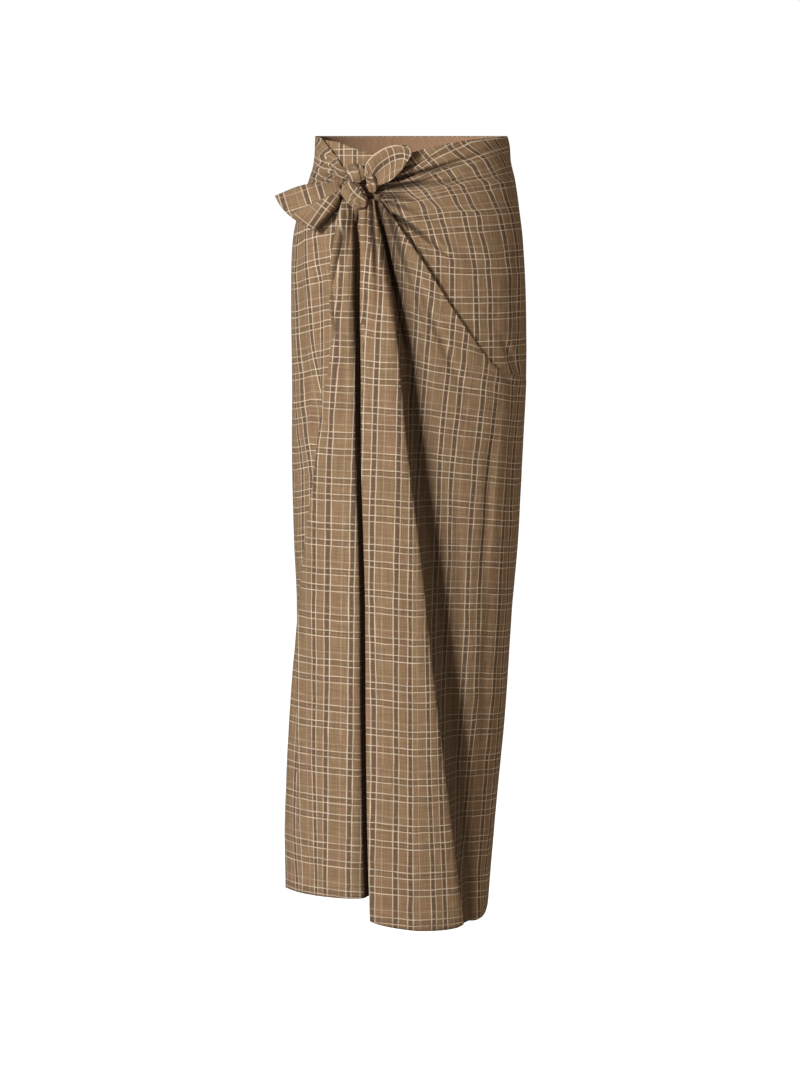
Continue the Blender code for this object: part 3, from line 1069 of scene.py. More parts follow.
# Lines of the left wrap on the front, from its seam to the knot: rows of x, height and proud
LEFT_WRAP_LINES = (
    (
        (-131, -1, 0), (-138, -60, 0), (-148, -141, 0), (-150, -300, 0), (-152, -500, 0),
        (-151, -700, 0), (-157, -1019, 0),
    ),
    (
        (-122, -3, 0), (-124, -60, 3), (-134, -141, 2), (-134, -300, 1), (-140, -500, 0),
        (-141, -700, 0), (-147, -1018, 0),
    ),
    (
        (-108, -21, 2), (-110, -66, 5), (-117, -100, 1.5), (-117, -300, -1), (-125, -500, 0),
        (-130, -700, 0), (-137, -1018, 0),
    ),
    (
        (-94, -43, 4), (-94, -66, 3), (-95, -92, 0), (-99, -300, -0.5), (-111, -500, 0),
        (-120, -700, 0), (-127, -1018, 0),
    ),
    (
        (-84, -52, 2), (-83, -70, 1), (-84, -92, 0), (-86, -300, 0), (-99, -500, 0),
        (-110, -700, 0), (-117, -1018, 0),
    ),
)


@dataclass
class LeftWrap(ClothPanel):
    """Left hip cloth, whose top is gathered into a band that runs down to the knot."""

    name: str = "left_wrap_cloth"
    node: str = "left_wrap"
    cell: float = 2.1
    flat: tuple[float, float] = (0.16, 1.03)
    area: float | None = 0.12
    ripple: float = 0.7
    seed: float = 1.3
    seam_hold: tuple[float, float] = (14.0, 0.0)

    def __post_init__(self) -> None:
        """Draws the lines and places the gathers."""
        front = [FORM.front_line(rows) for rows in LEFT_WRAP_LINES]
        self.lines = [turned_line(seam_angle(LEFT_SEAM, 1), smooth_rows(HEM_LEFT)), *front]
        self.grains = (Grain(0, len(front), LEFT_WARPS, LEFT_WEFTS),)
        self.creases = (
            Crease((-84, -53), (-126, -6), 6.0, 2.4, 1, Fade.FAR_END),
            Crease((-84, -56), (-132, -20), 6.5, 2.6, 3, Fade.FAR_END),
            Crease((-84, -60), (-138, -34), 6.5, 2.8, 3, Fade.FAR_END),
            Crease((-84, -63), (-144, -47), 6.5, 2.8, 2, Fade.FAR_END),
            Crease((-86, -67), (-150, -60), 6.0, 3.0, 1, Fade.FAR_END),
            Crease((-112, -26), (-128, -44), 2.6, 2.6, 1),
            Crease((-104, -42), (-122, -58), 2.6, 2.4, -1),
            Crease((-100, -20), (-118, -34), -2.0, 3.0, 1),
            Crease((-96, -90), (-106, -240), 4.0, 6, 0),
            Crease((-128, -120), (-118, -330), 2.6, 9, 3),
            Crease((-150, -130), (-140, -420), 2.2, 11, 4),
        )


@dataclass
class HipWrap(ClothPanel):
    """Upper right front, with creases that radiate from the knot."""

    name: str = "hip_wrap_cloth"
    node: str = "hip_wrap"
    cell: float = 2.0
    flat: tuple[float, float] = (0.30, 0.34)
    area: float | None = 0.062
    ripple: float = 0.5
    seed: float = 5.1
    seam_hold: tuple[float, float] = (0.0, 10.0)
    # Painted shade along the first lines, where the drape's slanting edge overhangs the hip
    shades: Rows = ((0, 4), (1, 3), (2, 1.6), (3.5, 0))
    gather_end: float = -40.0
    gather_proud: float = 2.0
    corner_lines: Rows = ((-7.0, -0.8), (-2.5, -2.0), (0.0, -5.0))
    side_heights: tuple[float, ...] = (-120.0, -240.0, -338.0)
    edges: Rows = (
        (-50, -45, -104), (-34, -36, -122), (-14, -27, -148), (10, -19, -182), (36, -12.5, -224),
        (62, -7.5, -264), (88, -4, -300), (116, -1.5, -330),
    )

    def __post_init__(self) -> None:
        """Draws the lines and places the creases."""
        for x, top, end in self.edges:
            held = self.gather_proud if x < self.gather_end else 0.0
            self.lines.append(FORM.front_line(((x, top, held), (x, (top + end) / 2, held / 2), (x, end, 0))))
        for turn, top in self.corner_lines:
            side = ((top, 0), *CORNER, *((height, 0) for height in self.side_heights))
            self.lines.append(turned_line(seam_angle(RIGHT_SEAM, -1) + turn, side))
        last = len(self.lines) - 1
        self.grains = (Grain(0, last, HIP_WARPS, HIP_WEFTS),)
        self.creases = (
            Crease((-44, -61), (132, -10), 9.0, 4.2, 4, Fade.FAR_END),
            Crease((-44, -70), (140, -56), 8.0, 4.2, -2, Fade.FAR_END),
            Crease((-40, -80), (30, -92), 8.0, 4.2, -3, Fade.FAR_END),
            Crease((-24, -106), (66, -172), 9.0, 4.5, -3, Fade.FAR_END),
            Crease((-40, -50), (70, -14), 4.5, 3.5, 2, Fade.FAR_END),
            Crease((-20, -66), (60, -46), 4.5, 4.0, 2),
            Crease((-42, -55), (8, -40), 4.0, 2.6, 1, Fade.FAR_END),
            Crease((-40, -66), (40, -60), 4.5, 2.8, -1, Fade.FAR_END),
            Crease((-38, -75), (24, -78), 4.0, 2.6, 1, Fade.FAR_END),
            Crease((-34, -88), (14, -104), 5.0, 3.0, -1, Fade.FAR_END),
            Crease((10, -48), (90, -30), 3.0, 5.0, 3),
            Crease((30, -78), (128, -72), 2.6, 6.0, -3),
            Crease((-24, -88), (70, -118), 3.5, 7, 4),
            Crease((30, -112), (124, -190), 2.2, 12, 8),
            Crease((120, -268), (142, -322), 3.0, 7, -3),
            Crease((136, -180), (146, -262), 1.6, 8, 2),
        )


# Lines of the front drape: rows of x, height and proud, from the gather under the knot to the hem
LEFT_FOLD = (
    (-93, -84, 9), (-105, -141, 10), (-112, -219, 11), (-108, -275, 11), (-120, -357, 12),
    (-133.5, -464, 13), (-150, -595, 14), (-165, -762, 15), (-174, -955, 15), (-173, -1029, 15),
)
LEFT_RIDGE = (
    (-84, -84, 9), (-84, -141, 15), (-83.5, -219, 18), (-86, -357, 21), (-92, -530, 24), (-97, -762, 27),
    (-102, -1028, 29),
)
CENTRE_LEFT = (
    (-68, -84, 8), (-68.5, -141, 17), (-69, -219, 22), (-68, -357, 27), (-65, -530, 32), (-62, -762, 37),
    (-56.4, -1054, 40),
)
CENTRE_MIDDLE = (
    (-59, -84, 12), (-54, -141, 23), (-47, -219, 28), (-40, -357, 34), (-28, -530, 40), (-13, -762, 46),
    (8, -1067, 49),
)
CENTRE_RIGHT = (
    (-50, -84, 9), (-39.5, -141, 19), (-25.5, -219, 24), (-11.5, -357, 29), (8.5, -530, 34), (34, -762, 39),
    (71, -1064, 42),
)
VALLEY = (
    (-46, -84, 6), (-33, -141, 3), (-17, -219, -1), (-4, -357, -4), (22, -530, -4), (52, -762, -3),
    (79, -1072, 0),
)


# Lines from the drape's left edge to its valley: line followed, and how far across, proud and lower
DRAPE_LINES = (
    (LEFT_FOLD, 24, -6, 0),
    (LEFT_FOLD, 5, -5, 0),
    (LEFT_FOLD, 0, 0, 0),
    (LEFT_FOLD, 5, 4.5, 0),
    (LEFT_RIDGE, 0, 0, 0),
    (CENTRE_LEFT, -8, -8, -28.5),
    (CENTRE_LEFT, -0.5, -25, -29),
    (CENTRE_LEFT, 7, -25, -28),
    (CENTRE_LEFT, 5, -6, -4),
    (CENTRE_LEFT, 0, 0, 0),
    (CENTRE_LEFT, 6, 4, 3),
    (CENTRE_MIDDLE, 0, 0, 0),
    (CENTRE_RIGHT, -9, 5, 3),
    (CENTRE_RIGHT, 0, 0, 0),
    (CENTRE_RIGHT, -4, -8, 2),
    (VALLEY, 0, 0, 0),
)


@dataclass
class FrontDrape(ClothPanel):
    """Left pleat, standing centre pleat and right front in one draped piece."""

    name: str = "front_drape_cloth"
    node: str = "front_drape"
    cell: float = 3.4
    cell_length: float = 1.7
    flat: tuple[float, float] = (0.62, 0.99)
    area: float | None = 0.45
    ripple: float = 0.9
    seed: float = 9.2
    # Painted shade by line: under the left fold's edge, in the crevice left of the centre pleat and in the
    # valley right of it
    shades: Rows = (
        (1, 0), (1.6, 4), (2, 0), (4.4, 0), (5, 4), (6, 10), (7, 10), (8, 5), (9, 0), (13, 0), (13.6, 5),
        (15, 6.5), (15.5, 4.8), (16, 2.0), (17, 0),
    )
    seam_hold: tuple[float, float] = (0.0, 14.0)
    right_tops: Rows = (
        (-18, -119, 13), (8.4, -156.7, 11), (48.6, -219.5, 8.5), (84.8, -273, 6), (118.4, -313, 3.5),
    )
    right_heights: tuple[float, ...] = (-430.0, -640.0, -850.0)
    valley_proud: float = 3.0
    seam_roll: float = 1.5
    pleat_span: tuple[int, int] = (0, 6)  # first and last line of the left pleat's chart
    centre_span: tuple[int, int] = (8, 13)
    right_from: int = 14

    def right_face(self) -> list[np.ndarray]:
        """Lines of the right front.

        Returns:
            The lines from the slanting fold edge down to the hem, from the valley to the seam.
        """
        found = []
        for i, (x, top, proud) in enumerate(self.right_tops):
            share = (i + 1) / (len(self.right_tops) + 1)
            rows = [np.array(FORM.front_place(x, top, proud))]
            hem = HEM_RIGHT - HEM_DIP * (1 - share**4)
            for height in (*self.right_heights, hem):
                across = float(smooth_column(VALLEY, 0, height, key=1))
                valley = np.array(FORM.front_place(across, height, self.valley_proud))
                seam = np.array((radians(RIGHT_SEAM) * UNROLLED_RADIUS, height, 0.0))
                rows.append(valley + (seam - valley) * share)
            found.append(np.array(rows))
        return found

    def __post_init__(self) -> None:
        """Draws the lines, charts the check and places the creases."""
        self.lines = [FORM.front_line(shifted(*row)) for row in DRAPE_LINES]
        self.lines += self.right_face()
        side = ((-332, 0.6), (-352, 0.4), (-400, 0), (-640, 0), (-850, 0), (HEM_RIGHT, 0))
        for turn in (-self.seam_roll, 0.0):
            self.lines.append(turned_line(seam_angle(RIGHT_SEAM, -1) + turn, side))
        last = len(self.lines) - 1
        self.grains = (
            Grain(*self.pleat_span, PLEAT_WARPS, PLEAT_WEFTS),
            Grain(*self.centre_span, CENTRE_WARPS, CENTRE_WEFTS),
            Grain(self.right_from, last, DRAPE_WARPS, DRAPE_WEFTS),
        )
        self.creases = (
            Crease((-85, -92), (-113, -218), 9.5, 3.6, 1),
            Crease((-111, -176), (-105, -290), 7.5, 4.0, 0),
            Crease((-81, -84), (-88, -190), 7.0, 2.8, 0, Fade.FAR_END),
            Crease((-74, -84), (-75, -320), 10.0, 3.6, 0, Fade.FAR_END),
            Crease((-84, -150), (-86, -330), -3.0, 5.0, 0),
            Crease((-97, -210), (-98, -420), 3.0, 6.0, 1),
            Crease((-91, -200), (-90, -420), 3.0, 7.0, 2),
            Crease((-61, -84), (-60, -170), 6.0, 2.6, 0, Fade.FAR_END),
            Crease((-55, -86), (-45, -250), 10.0, 3.8, -1, Fade.FAR_END),
            Crease((-50, -100), (-26, -210), 5.0, 3.0, 1),
            Crease((-46, -88), (-6, -262), 7.0, 4.5, 3, Fade.FAR_END),
            Crease((-38, -124), (-8, -290), 8.0, 5.0, 3),
            Crease((-32, -92), (45, -315), 5.5, 5.5, 4, Fade.FAR_END),
            Crease((-16, -122), (80, -356), 3.5, 8, 6),
            Crease((-38, -330), (-30, -620), 2.2, 10, 2),
            Crease((-12, -420), (4, -820), 2.0, 12, 3),
            Crease((-104, -420), (-110, -800), 2.0, 10, 3),
            Crease((118, -345), (98, -640), 3.4, 8, 4),
            Crease((138, -345), (128, -560), 2.6, 6, -3),
            Crease((60, -430), (72, -760), 2.6, 10, 3),
            Crease((110, -560), (98, -900), 2.4, 9, 3),
            Crease((70, -262), (150, -360), 1.6, 7, -8),
        )


@dataclass
class TieEnd(ClothPanel):
    """Free end of the tie, drawn in space by a table of points for each line."""

    cell: float = 1.8
    free: bool = True
    held: str = "gathered"
    table: tuple[Rows, ...] = ()

    def __post_init__(self) -> None:
        """Draws the lines."""
        self.lines = [np.array(rows, float) for rows in self.table]


@dataclass
class LeftTail(TieEnd):
    """Fan-shaped tie end that points left and is folded along its length."""

    name: str = "left_tail_cloth"
    node: str = "left_tail"
    flat: tuple[float, float] = (0.09, 0.10)
    area: float | None = 0.005
    table: tuple[Rows, ...] = (
        ((-97, -86, -60), (-115, -86, -62), (-139, -82, -64), (-158, -76, -69), (-184, -66, -80)),
        ((-97, -92, -66), (-114, -96, -71), (-138, -91, -77), (-160, -84, -85), (-176, -76, -94)),
        ((-94.4, -96.5, -71), (-111, -101, -80), (-131, -97, -90), (-148, -91, -99), (-163, -84, -107)),
        ((-95, -96, -78), (-108, -102, -89), (-124, -98, -101), (-138, -93, -110), (-148, -88, -117)),
        ((-96, -95, -84), (-106, -99, -96), (-118, -96, -109), (-126, -92, -118), (-131, -88, -125)),
        ((-93.4, -88.5, -86), (-100, -89, -97), (-110, -84, -109), (-116, -81, -117), (-120, -78, -124)),
    )
    turns: Rows = (
        (198, -106, 14), (198, -106, 14), (144, -39, 146), (144, -39, 146), (144, -39, 146), (150, -30, 150),
    )
    # Painted shade on the tail's inner layer, towards its last line
    shades: Rows = ((3.4, 0), (4.2, 4), (5, 9))


@dataclass
class RightTail(TieEnd):
    """Cupped, leaf-shaped tie end that points up and right, with a rolled upper edge."""

    name: str = "right_tail_cloth"
    node: str = "right_tail"
    flat: tuple[float, float] = (0.055, 0.09)
    area: float | None = 0.0028
    table: tuple[Rows, ...] = (
        ((-61, -88, -52), (-58, -93, -42), (-43, -99, -27), (-19, -106, -18), (-6, -110, -18)),
        ((-62.3, -91.6, -50), (-60, -101, -37), (-44, -106, -21), (-20, -112, -12), (-4, -114, -14)),
        ((-61, -96, -54), (-55, -104, -42), (-40, -106, -27), (-18, -110, -18), (0, -113, -18)),
        ((-58, -94, -60), (-49, -98, -52), (-33, -102, -42), (-15, -106, -31), (0, -110, -24)),
        ((-57, -94, -63), (-45, -102, -60), (-30, -108, -51), (-13, -110, -38), (-3, -110, -30)),
        ((-56, -95, -65), (-42, -105, -65), (-27, -112, -58), (-13, -113, -45), (-7, -111, -36)),
    )
    weave_from: tuple[float, float] = (5.5, 33.0)


@dataclass
class KnotLump(ClothPanel):
    """A lump of the knot: cloth gathered into a fluted tube along a path."""

    cell: float = 1.2
    free: bool = True
    held: str = "gathered"
    path: Rows = ()
    half_width: float = 10.0
    half_thick: float = 6.0
    flutes: float = 5.0
    flute_depth: float = 0.13
    twist: float = 0.0
    rows: int = 40
    sides: int = 56
    end_swell: float = 0.01
    swell_power: float = 0.25

    def grid(self) -> tuple[np.ndarray, list[int]]:
        """Rows round the tube from its start to its end, with its ends drawn in.

        Returns:
            The points, in millimetres, and the first and last column.
        """
        shares = np.linspace(0, 1, self.rows + 1)
        line = on_curve(np.array(self.path, float), shares * (len(self.path) - 1))
        ahead = np.gradient(line, axis=0)
        ahead /= np.linalg.norm(ahead, axis=1, keepdims=True)
        across = np.cross(np.array([0.0, -1.0, 0.0]), ahead)
        across /= np.linalg.norm(across, axis=1, keepdims=True)
        out = np.cross(ahead, across)
        swell = np.clip(1 - (2 * shares - 1) ** 2, self.end_swell, 1) ** self.swell_power
        turn = -np.linspace(0, 2 * pi, self.sides + 1)
        flute = 1 + self.flute_depth * np.cos(self.flutes * turn[None, :] + self.twist * shares[:, None])
        wide = self.half_width * swell[:, None] * flute * np.cos(turn)
        thick = self.half_thick * swell[:, None] * flute * np.sin(turn)
        points = line[:, None, :] + across[:, None, :] * wide[..., None] + out[:, None, :] * thick[..., None]
        return points, [0, self.sides]


@dataclass
class KnotLoop(KnotLump):
    """Loop of cloth round the tied ends."""

    name: str = "knot_loop_cloth"
    node: str = "knot_loop"
    flat: tuple[float, float] = (0.063, 0.045)
    path: Rows = (
        (-87, -94, -65), (-84, -103.5, -69), (-77, -110, -77), (-71, -111.5, -87), (-69, -110.5, -96),
    )
    half_width: float = 12.5
    half_thick: float = 7.0
    flutes: float = 6.0
    flute_depth: float = 0.15
    twist: float = 2.4
    ripple: float = 1.0
    relief: float = 0.7
    turns: Rows = ((236, -95, 14), (236, -95, 14))


@dataclass
class KnotStrap(KnotLump):
    """Strap that comes down over the loop."""

    name: str = "knot_strap_cloth"
    node: str = "knot_strap"
    flat: tuple[float, float] = (0.052, 0.032)
    path: Rows = ((-77, -85.5, -38), (-76, -91.5, -45), (-73, -93.8, -54), (-68.5, -93, -62.5))
    half_width: float = 11.0
    half_thick: float = 5.5
    flute_depth: float = 0.16
    twist: float = -1.6
    ripple: float = 1.0
    relief: float = 0.7
    turns: Rows = ((20, 102, -6), (20, 102, -6))


@dataclass
class KnotTuck(KnotLump):
    """Small tuck of cloth at the knot's right."""

    name: str = "knot_tuck_cloth"
    node: str = "knot_tuck"
    flat: tuple[float, float] = (0.036, 0.03)
    path: Rows = ((-56, -99, -50), (-55, -104.5, -57), (-53, -105.5, -66), (-52, -103.5, -75))
    half_width: float = 6.0
    half_thick: float = 4.6
    flute_depth: float = 0.24
    twist: float = 3.0
    ripple: float = 1.2
    relief: float = 1.2
    turns: Rows = ((60, 31, 2), (60, 31, 2))


class Socket:
    """A value in a material's nodes, on which Python's operators add Math nodes."""

    def __init__(self, graph: "Graph", link: bpy.types.NodeSocket) -> None:
        """Keeps the graph and the output socket."""
        self.graph, self.link = graph, link

    def math(self, operation: str, *others: "Socket | float") -> "Socket":
        """Result of a Math node on this value and the others."""
        return self.graph.node("ShaderNodeMath", {"operation": operation}, self, *others)

    def __add__(self, other: "Socket | float") -> "Socket":
        """Sum."""
        return self.math("ADD", other)

    __radd__ = __add__

    def __sub__(self, other: "Socket | float") -> "Socket":
        """Difference."""
        return self.math("SUBTRACT", other)

    def __rsub__(self, other: float) -> "Socket":
        """Difference from a number."""
        return self.graph.node("ShaderNodeMath", {"operation": "SUBTRACT"}, other, self)

    def __mul__(self, other: "Socket | float") -> "Socket":
        """Product."""
        return self.math("MULTIPLY", other)

    __rmul__ = __mul__

    def __truediv__(self, other: "Socket | float") -> "Socket":
        """Quotient."""
        return self.math("DIVIDE", other)

    def __abs__(self) -> "Socket":
        """Size without sign."""
        return self.math("ABSOLUTE")

    def least(self, other: "Socket | float") -> "Socket":
        """The smaller of the two."""
        return self.math("MINIMUM", other)

    def most(self, other: "Socket | float") -> "Socket":
        """The larger of the two."""
        return self.math("MAXIMUM", other)

    def ramp(self, start: float, end: float, low: float = 0.0, high: float = 1.0) -> "Socket":
        """Smooth step between two levels.

        Args:
            start: where the step begins.
            end: where it ends.
            low: level up to its start.
            high: level from its end on.

        Returns:
            The stepped value.
        """
        settings = {"interpolation_type": "SMOOTHSTEP"}
        return self.graph.node("ShaderNodeMapRange", settings, self, start, end, low, high)

    def from_repeat(self, at: float, period: float) -> "Socket":
        """Distance to the nearest of a row of lines, the first at `at`, one each `period`."""
        return abs(self.math("WRAP", at + period / 2, at - period / 2) - at)


Colour = tuple[float, float, float, float]
Scale = tuple[float, float, float]
Pair = tuple[Socket, Socket]
MM_PER_METRE = 1000.0
MIX_UNUSED = (None,) * 5  # a Mix node's sockets between its share and its colours
MIX_COLOUR = 2  # a Mix node's colour output


class Graph:
    """Nodes of a material or of the world, with the node that they all feed."""

    def __init__(self, holder: bpy.types.Material | bpy.types.World, end: str = "Principled BSDF") -> None:
        """Turns on the holder's nodes.

        Args:
            holder: the material or the world.
            end: name of the node that the others feed.
        """
        holder.use_nodes = True
        self.tree = holder.node_tree
        self.end = self.tree.nodes[end]

    def put(self, socket: bpy.types.NodeSocket, value: object) -> None:
        """Feeds an input socket.

        Args:
            socket: the input.
            value: a link's start or a plain value.
        """
        if isinstance(value, Socket):
            self.tree.links.new(value.link, socket)
        else:
            socket.default_value = value

    def node(
        self,
        kind: str,
        settings: dict[str, object] | None = None,
        *values: object,
        out: int | str = 0,
        **named: object,
    ) -> Socket:
        """Adds a node.

        Args:
            kind: the node's type.
            settings: attributes set before its sockets are used.
            values: values or links of the first input sockets, in order; None leaves one alone.
            out: which output to return.
            named: values or links of sockets by name, with spaces as underscores.

        Returns:
            The output socket, wrapped.
        """
        made = self.tree.nodes.new(kind)
        for key, value in (settings or {}).items():
            setattr(made, key, value)
        for key, value in (*enumerate(values), *((k.replace("_", " "), v) for k, v in named.items())):
            if value is not None:
                self.put(made.inputs[key], value)
        return Socket(self, made.outputs[out])

    def mix(self, share: Socket | float, low: object, high: object, blend: str = "MIX") -> Socket:
        """Mix of two colours.

        Args:
            share: how much of the second colour.
            low: first colour.
            high: second colour.
            blend: how they are blended.

        Returns:
            The mixed colour.
        """
        settings = {"data_type": "RGBA", "blend_type": blend}
        return self.node("ShaderNodeMix", settings, share, *MIX_UNUSED, low, high, out=MIX_COLOUR)

    def map_values(self, name: str) -> Pair:
        """Both values of one of the piece's maps.

        Args:
            name: the map's name.

        Returns:
            Its first and second value, in millimetres.
        """
        first = self.node("ShaderNodeSeparateXYZ", None, self.node("ShaderNodeUVMap", {"uv_map": name}))
        second = Socket(self, first.link.node.outputs[1])
        return first * MM_PER_METRE, second * MM_PER_METRE

    def slub(self, weave: Socket, scale: Scale) -> Socket:
        """Uneven yarns: noise stretched along one direction of the weave.

        Args:
            weave: place on the woven cloth, in metres.
            scale: waves for each metre across and down the weave.

        Returns:
            The noise, about a half on average.
        """
        stretched = self.node("ShaderNodeVectorMath", {"operation": "MULTIPLY"}, weave, scale)
        settings = {"noise_dimensions": "2D"}
        return self.node("ShaderNodeTexNoise", settings, Vector=stretched, Scale=1.0, Detail=2.0)

    def close(self, **values: object) -> None:
        """Feeds the end node's sockets, by name, with spaces as underscores."""
        for key, value in values.items():
            self.put(self.end.inputs[key.replace("_", " ")], value)


@dataclass(frozen=True)
class CheckCloth:
    """Woven cotton in a check of cream, dark and brown yarns, sizes in millimetres.

    A pair of shares is the least share and how much more the thickest slub gives.
    """

    name: str = "check_cloth"
    brown: Colour = (0.335, 0.212, 0.119, 1)
    red_brown: Colour = (0.352, 0.206, 0.122, 1)
    olive: Colour = (0.312, 0.215, 0.111, 1)
    dark: Colour = (0.150, 0.096, 0.062, 1)
    weft_dark: Colour = (0.225, 0.138, 0.080, 1)
    cream: Colour = (0.800, 0.655, 0.490, 1)
    shadow: Colour = (0.050, 0.030, 0.018, 1)
    brown_share: float = 0.66
    warp_repeat: float = 52.5
    warp_pair_gap: float = 32.5
    warp_dark_half: float = 2.5
    warp_dark_shares: tuple[float, float] = (0.4, 0.8)
    warp_cream_at: float = 3.8
    warp_cream_shares: tuple[float, float] = (0.58, 0.6)
    warp_faint_at: float = 13.0
    warp_faint_half: float = 0.7
    warp_faint_share: float = 0.26
    weft_repeat: float = 61.0
    weft_middle: float = 15.25
    weft_band_share: float = 0.35
    weft_creams: tuple[float, float] = (6.95, 15.25)
    weft_cream_shares: tuple[float, float] = (0.45, 0.7)
    weft_darks: tuple[float, float] = (9.1, 13.1)
    weft_dark_half: float = 0.9
    weft_dark_share: float = 0.55
    weft_faint_at: float = 51.2
    weft_faint_half: float = 0.6
    weft_faint_share: float = 0.30
    crossing_share: float = 0.5
    cream_half: float = 0.6
    dark_soft: float = 0.7
    faint_soft: float = 0.5
    edge_soft: float = 0.4
    wander: float = 1.7
    wander_scale: Scale = (38.0, 30.0, 1.0)
    warp_slub_scale: Scale = (620.0, 26.0, 1.0)
    weft_slub_scale: Scale = (30.0, 620.0, 1.0)
    tone_scale: Scale = (70.0, 9.0, 1.0)
    tone_ramp: tuple[float, float] = (0.35, 0.65)
    slub_contrast: float = 0.62
    crinkle_scales: tuple[Scale, Scale] = ((210.0, 60.0, 1.0), (60.0, 190.0, 1.0))
    crinkle_height: float = 0.0014  # in metres
    slub_height: float = 0.17  # as a share of the crinkle's, like the next one
    stitch_depth: float = 0.27
    bump: float = 0.45
    stitch_at: float = 7.0
    stitch_half: float = 0.6
    stitch_share: float = 0.45
    # Painted shade in deep folds: the next two give the depth of full shade and how far the colour goes
    # towards shadow
    deepest: float = 8.0
    painted_shade_share: float = 0.78
    roughness: float = 0.86
    specular: float = 0.25
    sheen: float = 0.08
    sheen_roughness: float = 0.5

    def line(self, distance: Socket, half: float, soft: float = 0.35) -> Socket:
        """Mask of a line where a distance is under a half width."""
        return distance.ramp(half - soft, half + soft, 1.0, 0.0)

    def uneven(self, mask: Socket, slub: Socket, shares: tuple[float, float]) -> Socket:
        """A mask that is stronger where the yarn is thick."""
        return mask * (slub * shares[1] + shares[0])

    def check(self, graph: Graph, ground: Socket, slubs: Pair, at: Pair) -> Socket:
        """The ground with the check's warp and weft yarns drawn over it.

        Args:
            graph: the material's nodes.
            ground: the ground's colour.
            slubs: unevenness of the warp and of the weft yarns.
            at: place across and down the weave, in millimetres.

        Returns:
            The cloth's colour.
        """
        u, v = at
        pair = u.from_repeat(0.0, self.warp_repeat).least(u.from_repeat(self.warp_pair_gap, self.warp_repeat))
        warp_dark = self.line(pair, self.warp_dark_half, self.dark_soft)
        warp_cream = self.line(abs(pair - self.warp_cream_at), self.cream_half)
        to_warp_faint = u.from_repeat(self.warp_faint_at, self.warp_repeat)
        warp_faint = self.line(to_warp_faint, self.warp_faint_half, self.faint_soft)
        group = v.from_repeat(self.weft_middle, self.weft_repeat)
        inner, outer = self.weft_creams
        low, high = self.weft_darks
        weft_cream = self.line(abs(group - inner).least(abs(group - outer)), self.cream_half)
        to_weft_dark = abs(group - low).least(abs(group - high))
        weft_dark = self.line(to_weft_dark, self.weft_dark_half, self.dark_soft)
        weft_band = self.line(abs(group - (inner + outer) / 2), (outer - inner) / 2, self.edge_soft)
        to_weft_faint = v.from_repeat(self.weft_faint_at, self.weft_repeat)
        weft_faint = self.line(to_weft_faint, self.weft_faint_half, self.edge_soft)
        faint = (warp_faint * self.warp_faint_share).most(weft_faint * self.weft_faint_share)
        colour = graph.mix(weft_band * self.weft_band_share, ground, self.weft_dark)
        colour = graph.mix(weft_dark * self.weft_dark_share, colour, self.weft_dark)
        colour = graph.mix(self.uneven(warp_dark, slubs[0], self.warp_dark_shares), colour, self.dark)
        colour = graph.mix(weft_dark * warp_dark * self.crossing_share, colour, self.dark)
        colour = graph.mix(faint, colour, self.cream)
        colour = graph.mix(self.uneven(weft_cream, slubs[1], self.weft_cream_shares), colour, self.cream)
        return graph.mix(self.uneven(warp_cream, slubs[0], self.warp_cream_shares), colour, self.cream)

    def build(self) -> bpy.types.Material:
        """Makes the material.

        Returns:
            The cloth's material, which reads the piece's weave and edge maps and paints shade in deep folds.
        """
        material = bpy.data.materials.new(self.name)
        graph = Graph(material)
        weave = graph.node("ShaderNodeUVMap", {"uv_map": "weave"})
        wander = (graph.slub(weave, self.wander_scale) - 0.5) * self.wander
        u, v = graph.map_values("weave")
        to_hem, depth = graph.map_values("edge")
        slubs = graph.slub(weave, self.warp_slub_scale), graph.slub(weave, self.weft_slub_scale)
        tone = graph.slub(weave, self.tone_scale).ramp(*self.tone_ramp)
        ground = graph.mix(self.brown_share, graph.mix(tone, self.olive, self.red_brown), self.brown)
        colour = self.check(graph, ground, slubs, (u + wander, v - wander))
        yarns = (slubs[0] + slubs[1] - 1.0) * self.slub_contrast + 1.0
        grey = graph.node("ShaderNodeCombineXYZ", None, yarns, yarns, yarns)
        colour = graph.mix(1.0, colour, grey, "MULTIPLY")
        # Painted shade: the colour goes towards shadow where the edge map's fold depth is large
        colour = graph.mix(depth.ramp(0.0, self.deepest) * self.painted_shade_share, colour, self.shadow)
        stitch = self.line(abs(to_hem - self.stitch_at), self.stitch_half, self.edge_soft)
        colour = graph.mix(stitch * self.stitch_share, colour, self.dark)
        one, two = (graph.slub(weave, scale) for scale in self.crinkle_scales)
        height = one + two + (slubs[0] + slubs[1]) * self.slub_height - stitch * self.stitch_depth
        graph.close(
            Base_Color=colour,
            Roughness=self.roughness,
            Specular_IOR_Level=self.specular,
            Sheen_Weight=self.sheen,
            Sheen_Roughness=self.sheen_roughness,
            Normal=graph.node(
                "ShaderNodeBump", None, Strength=self.bump, Distance=self.crinkle_height, Height=height
            ),
        )
        return material


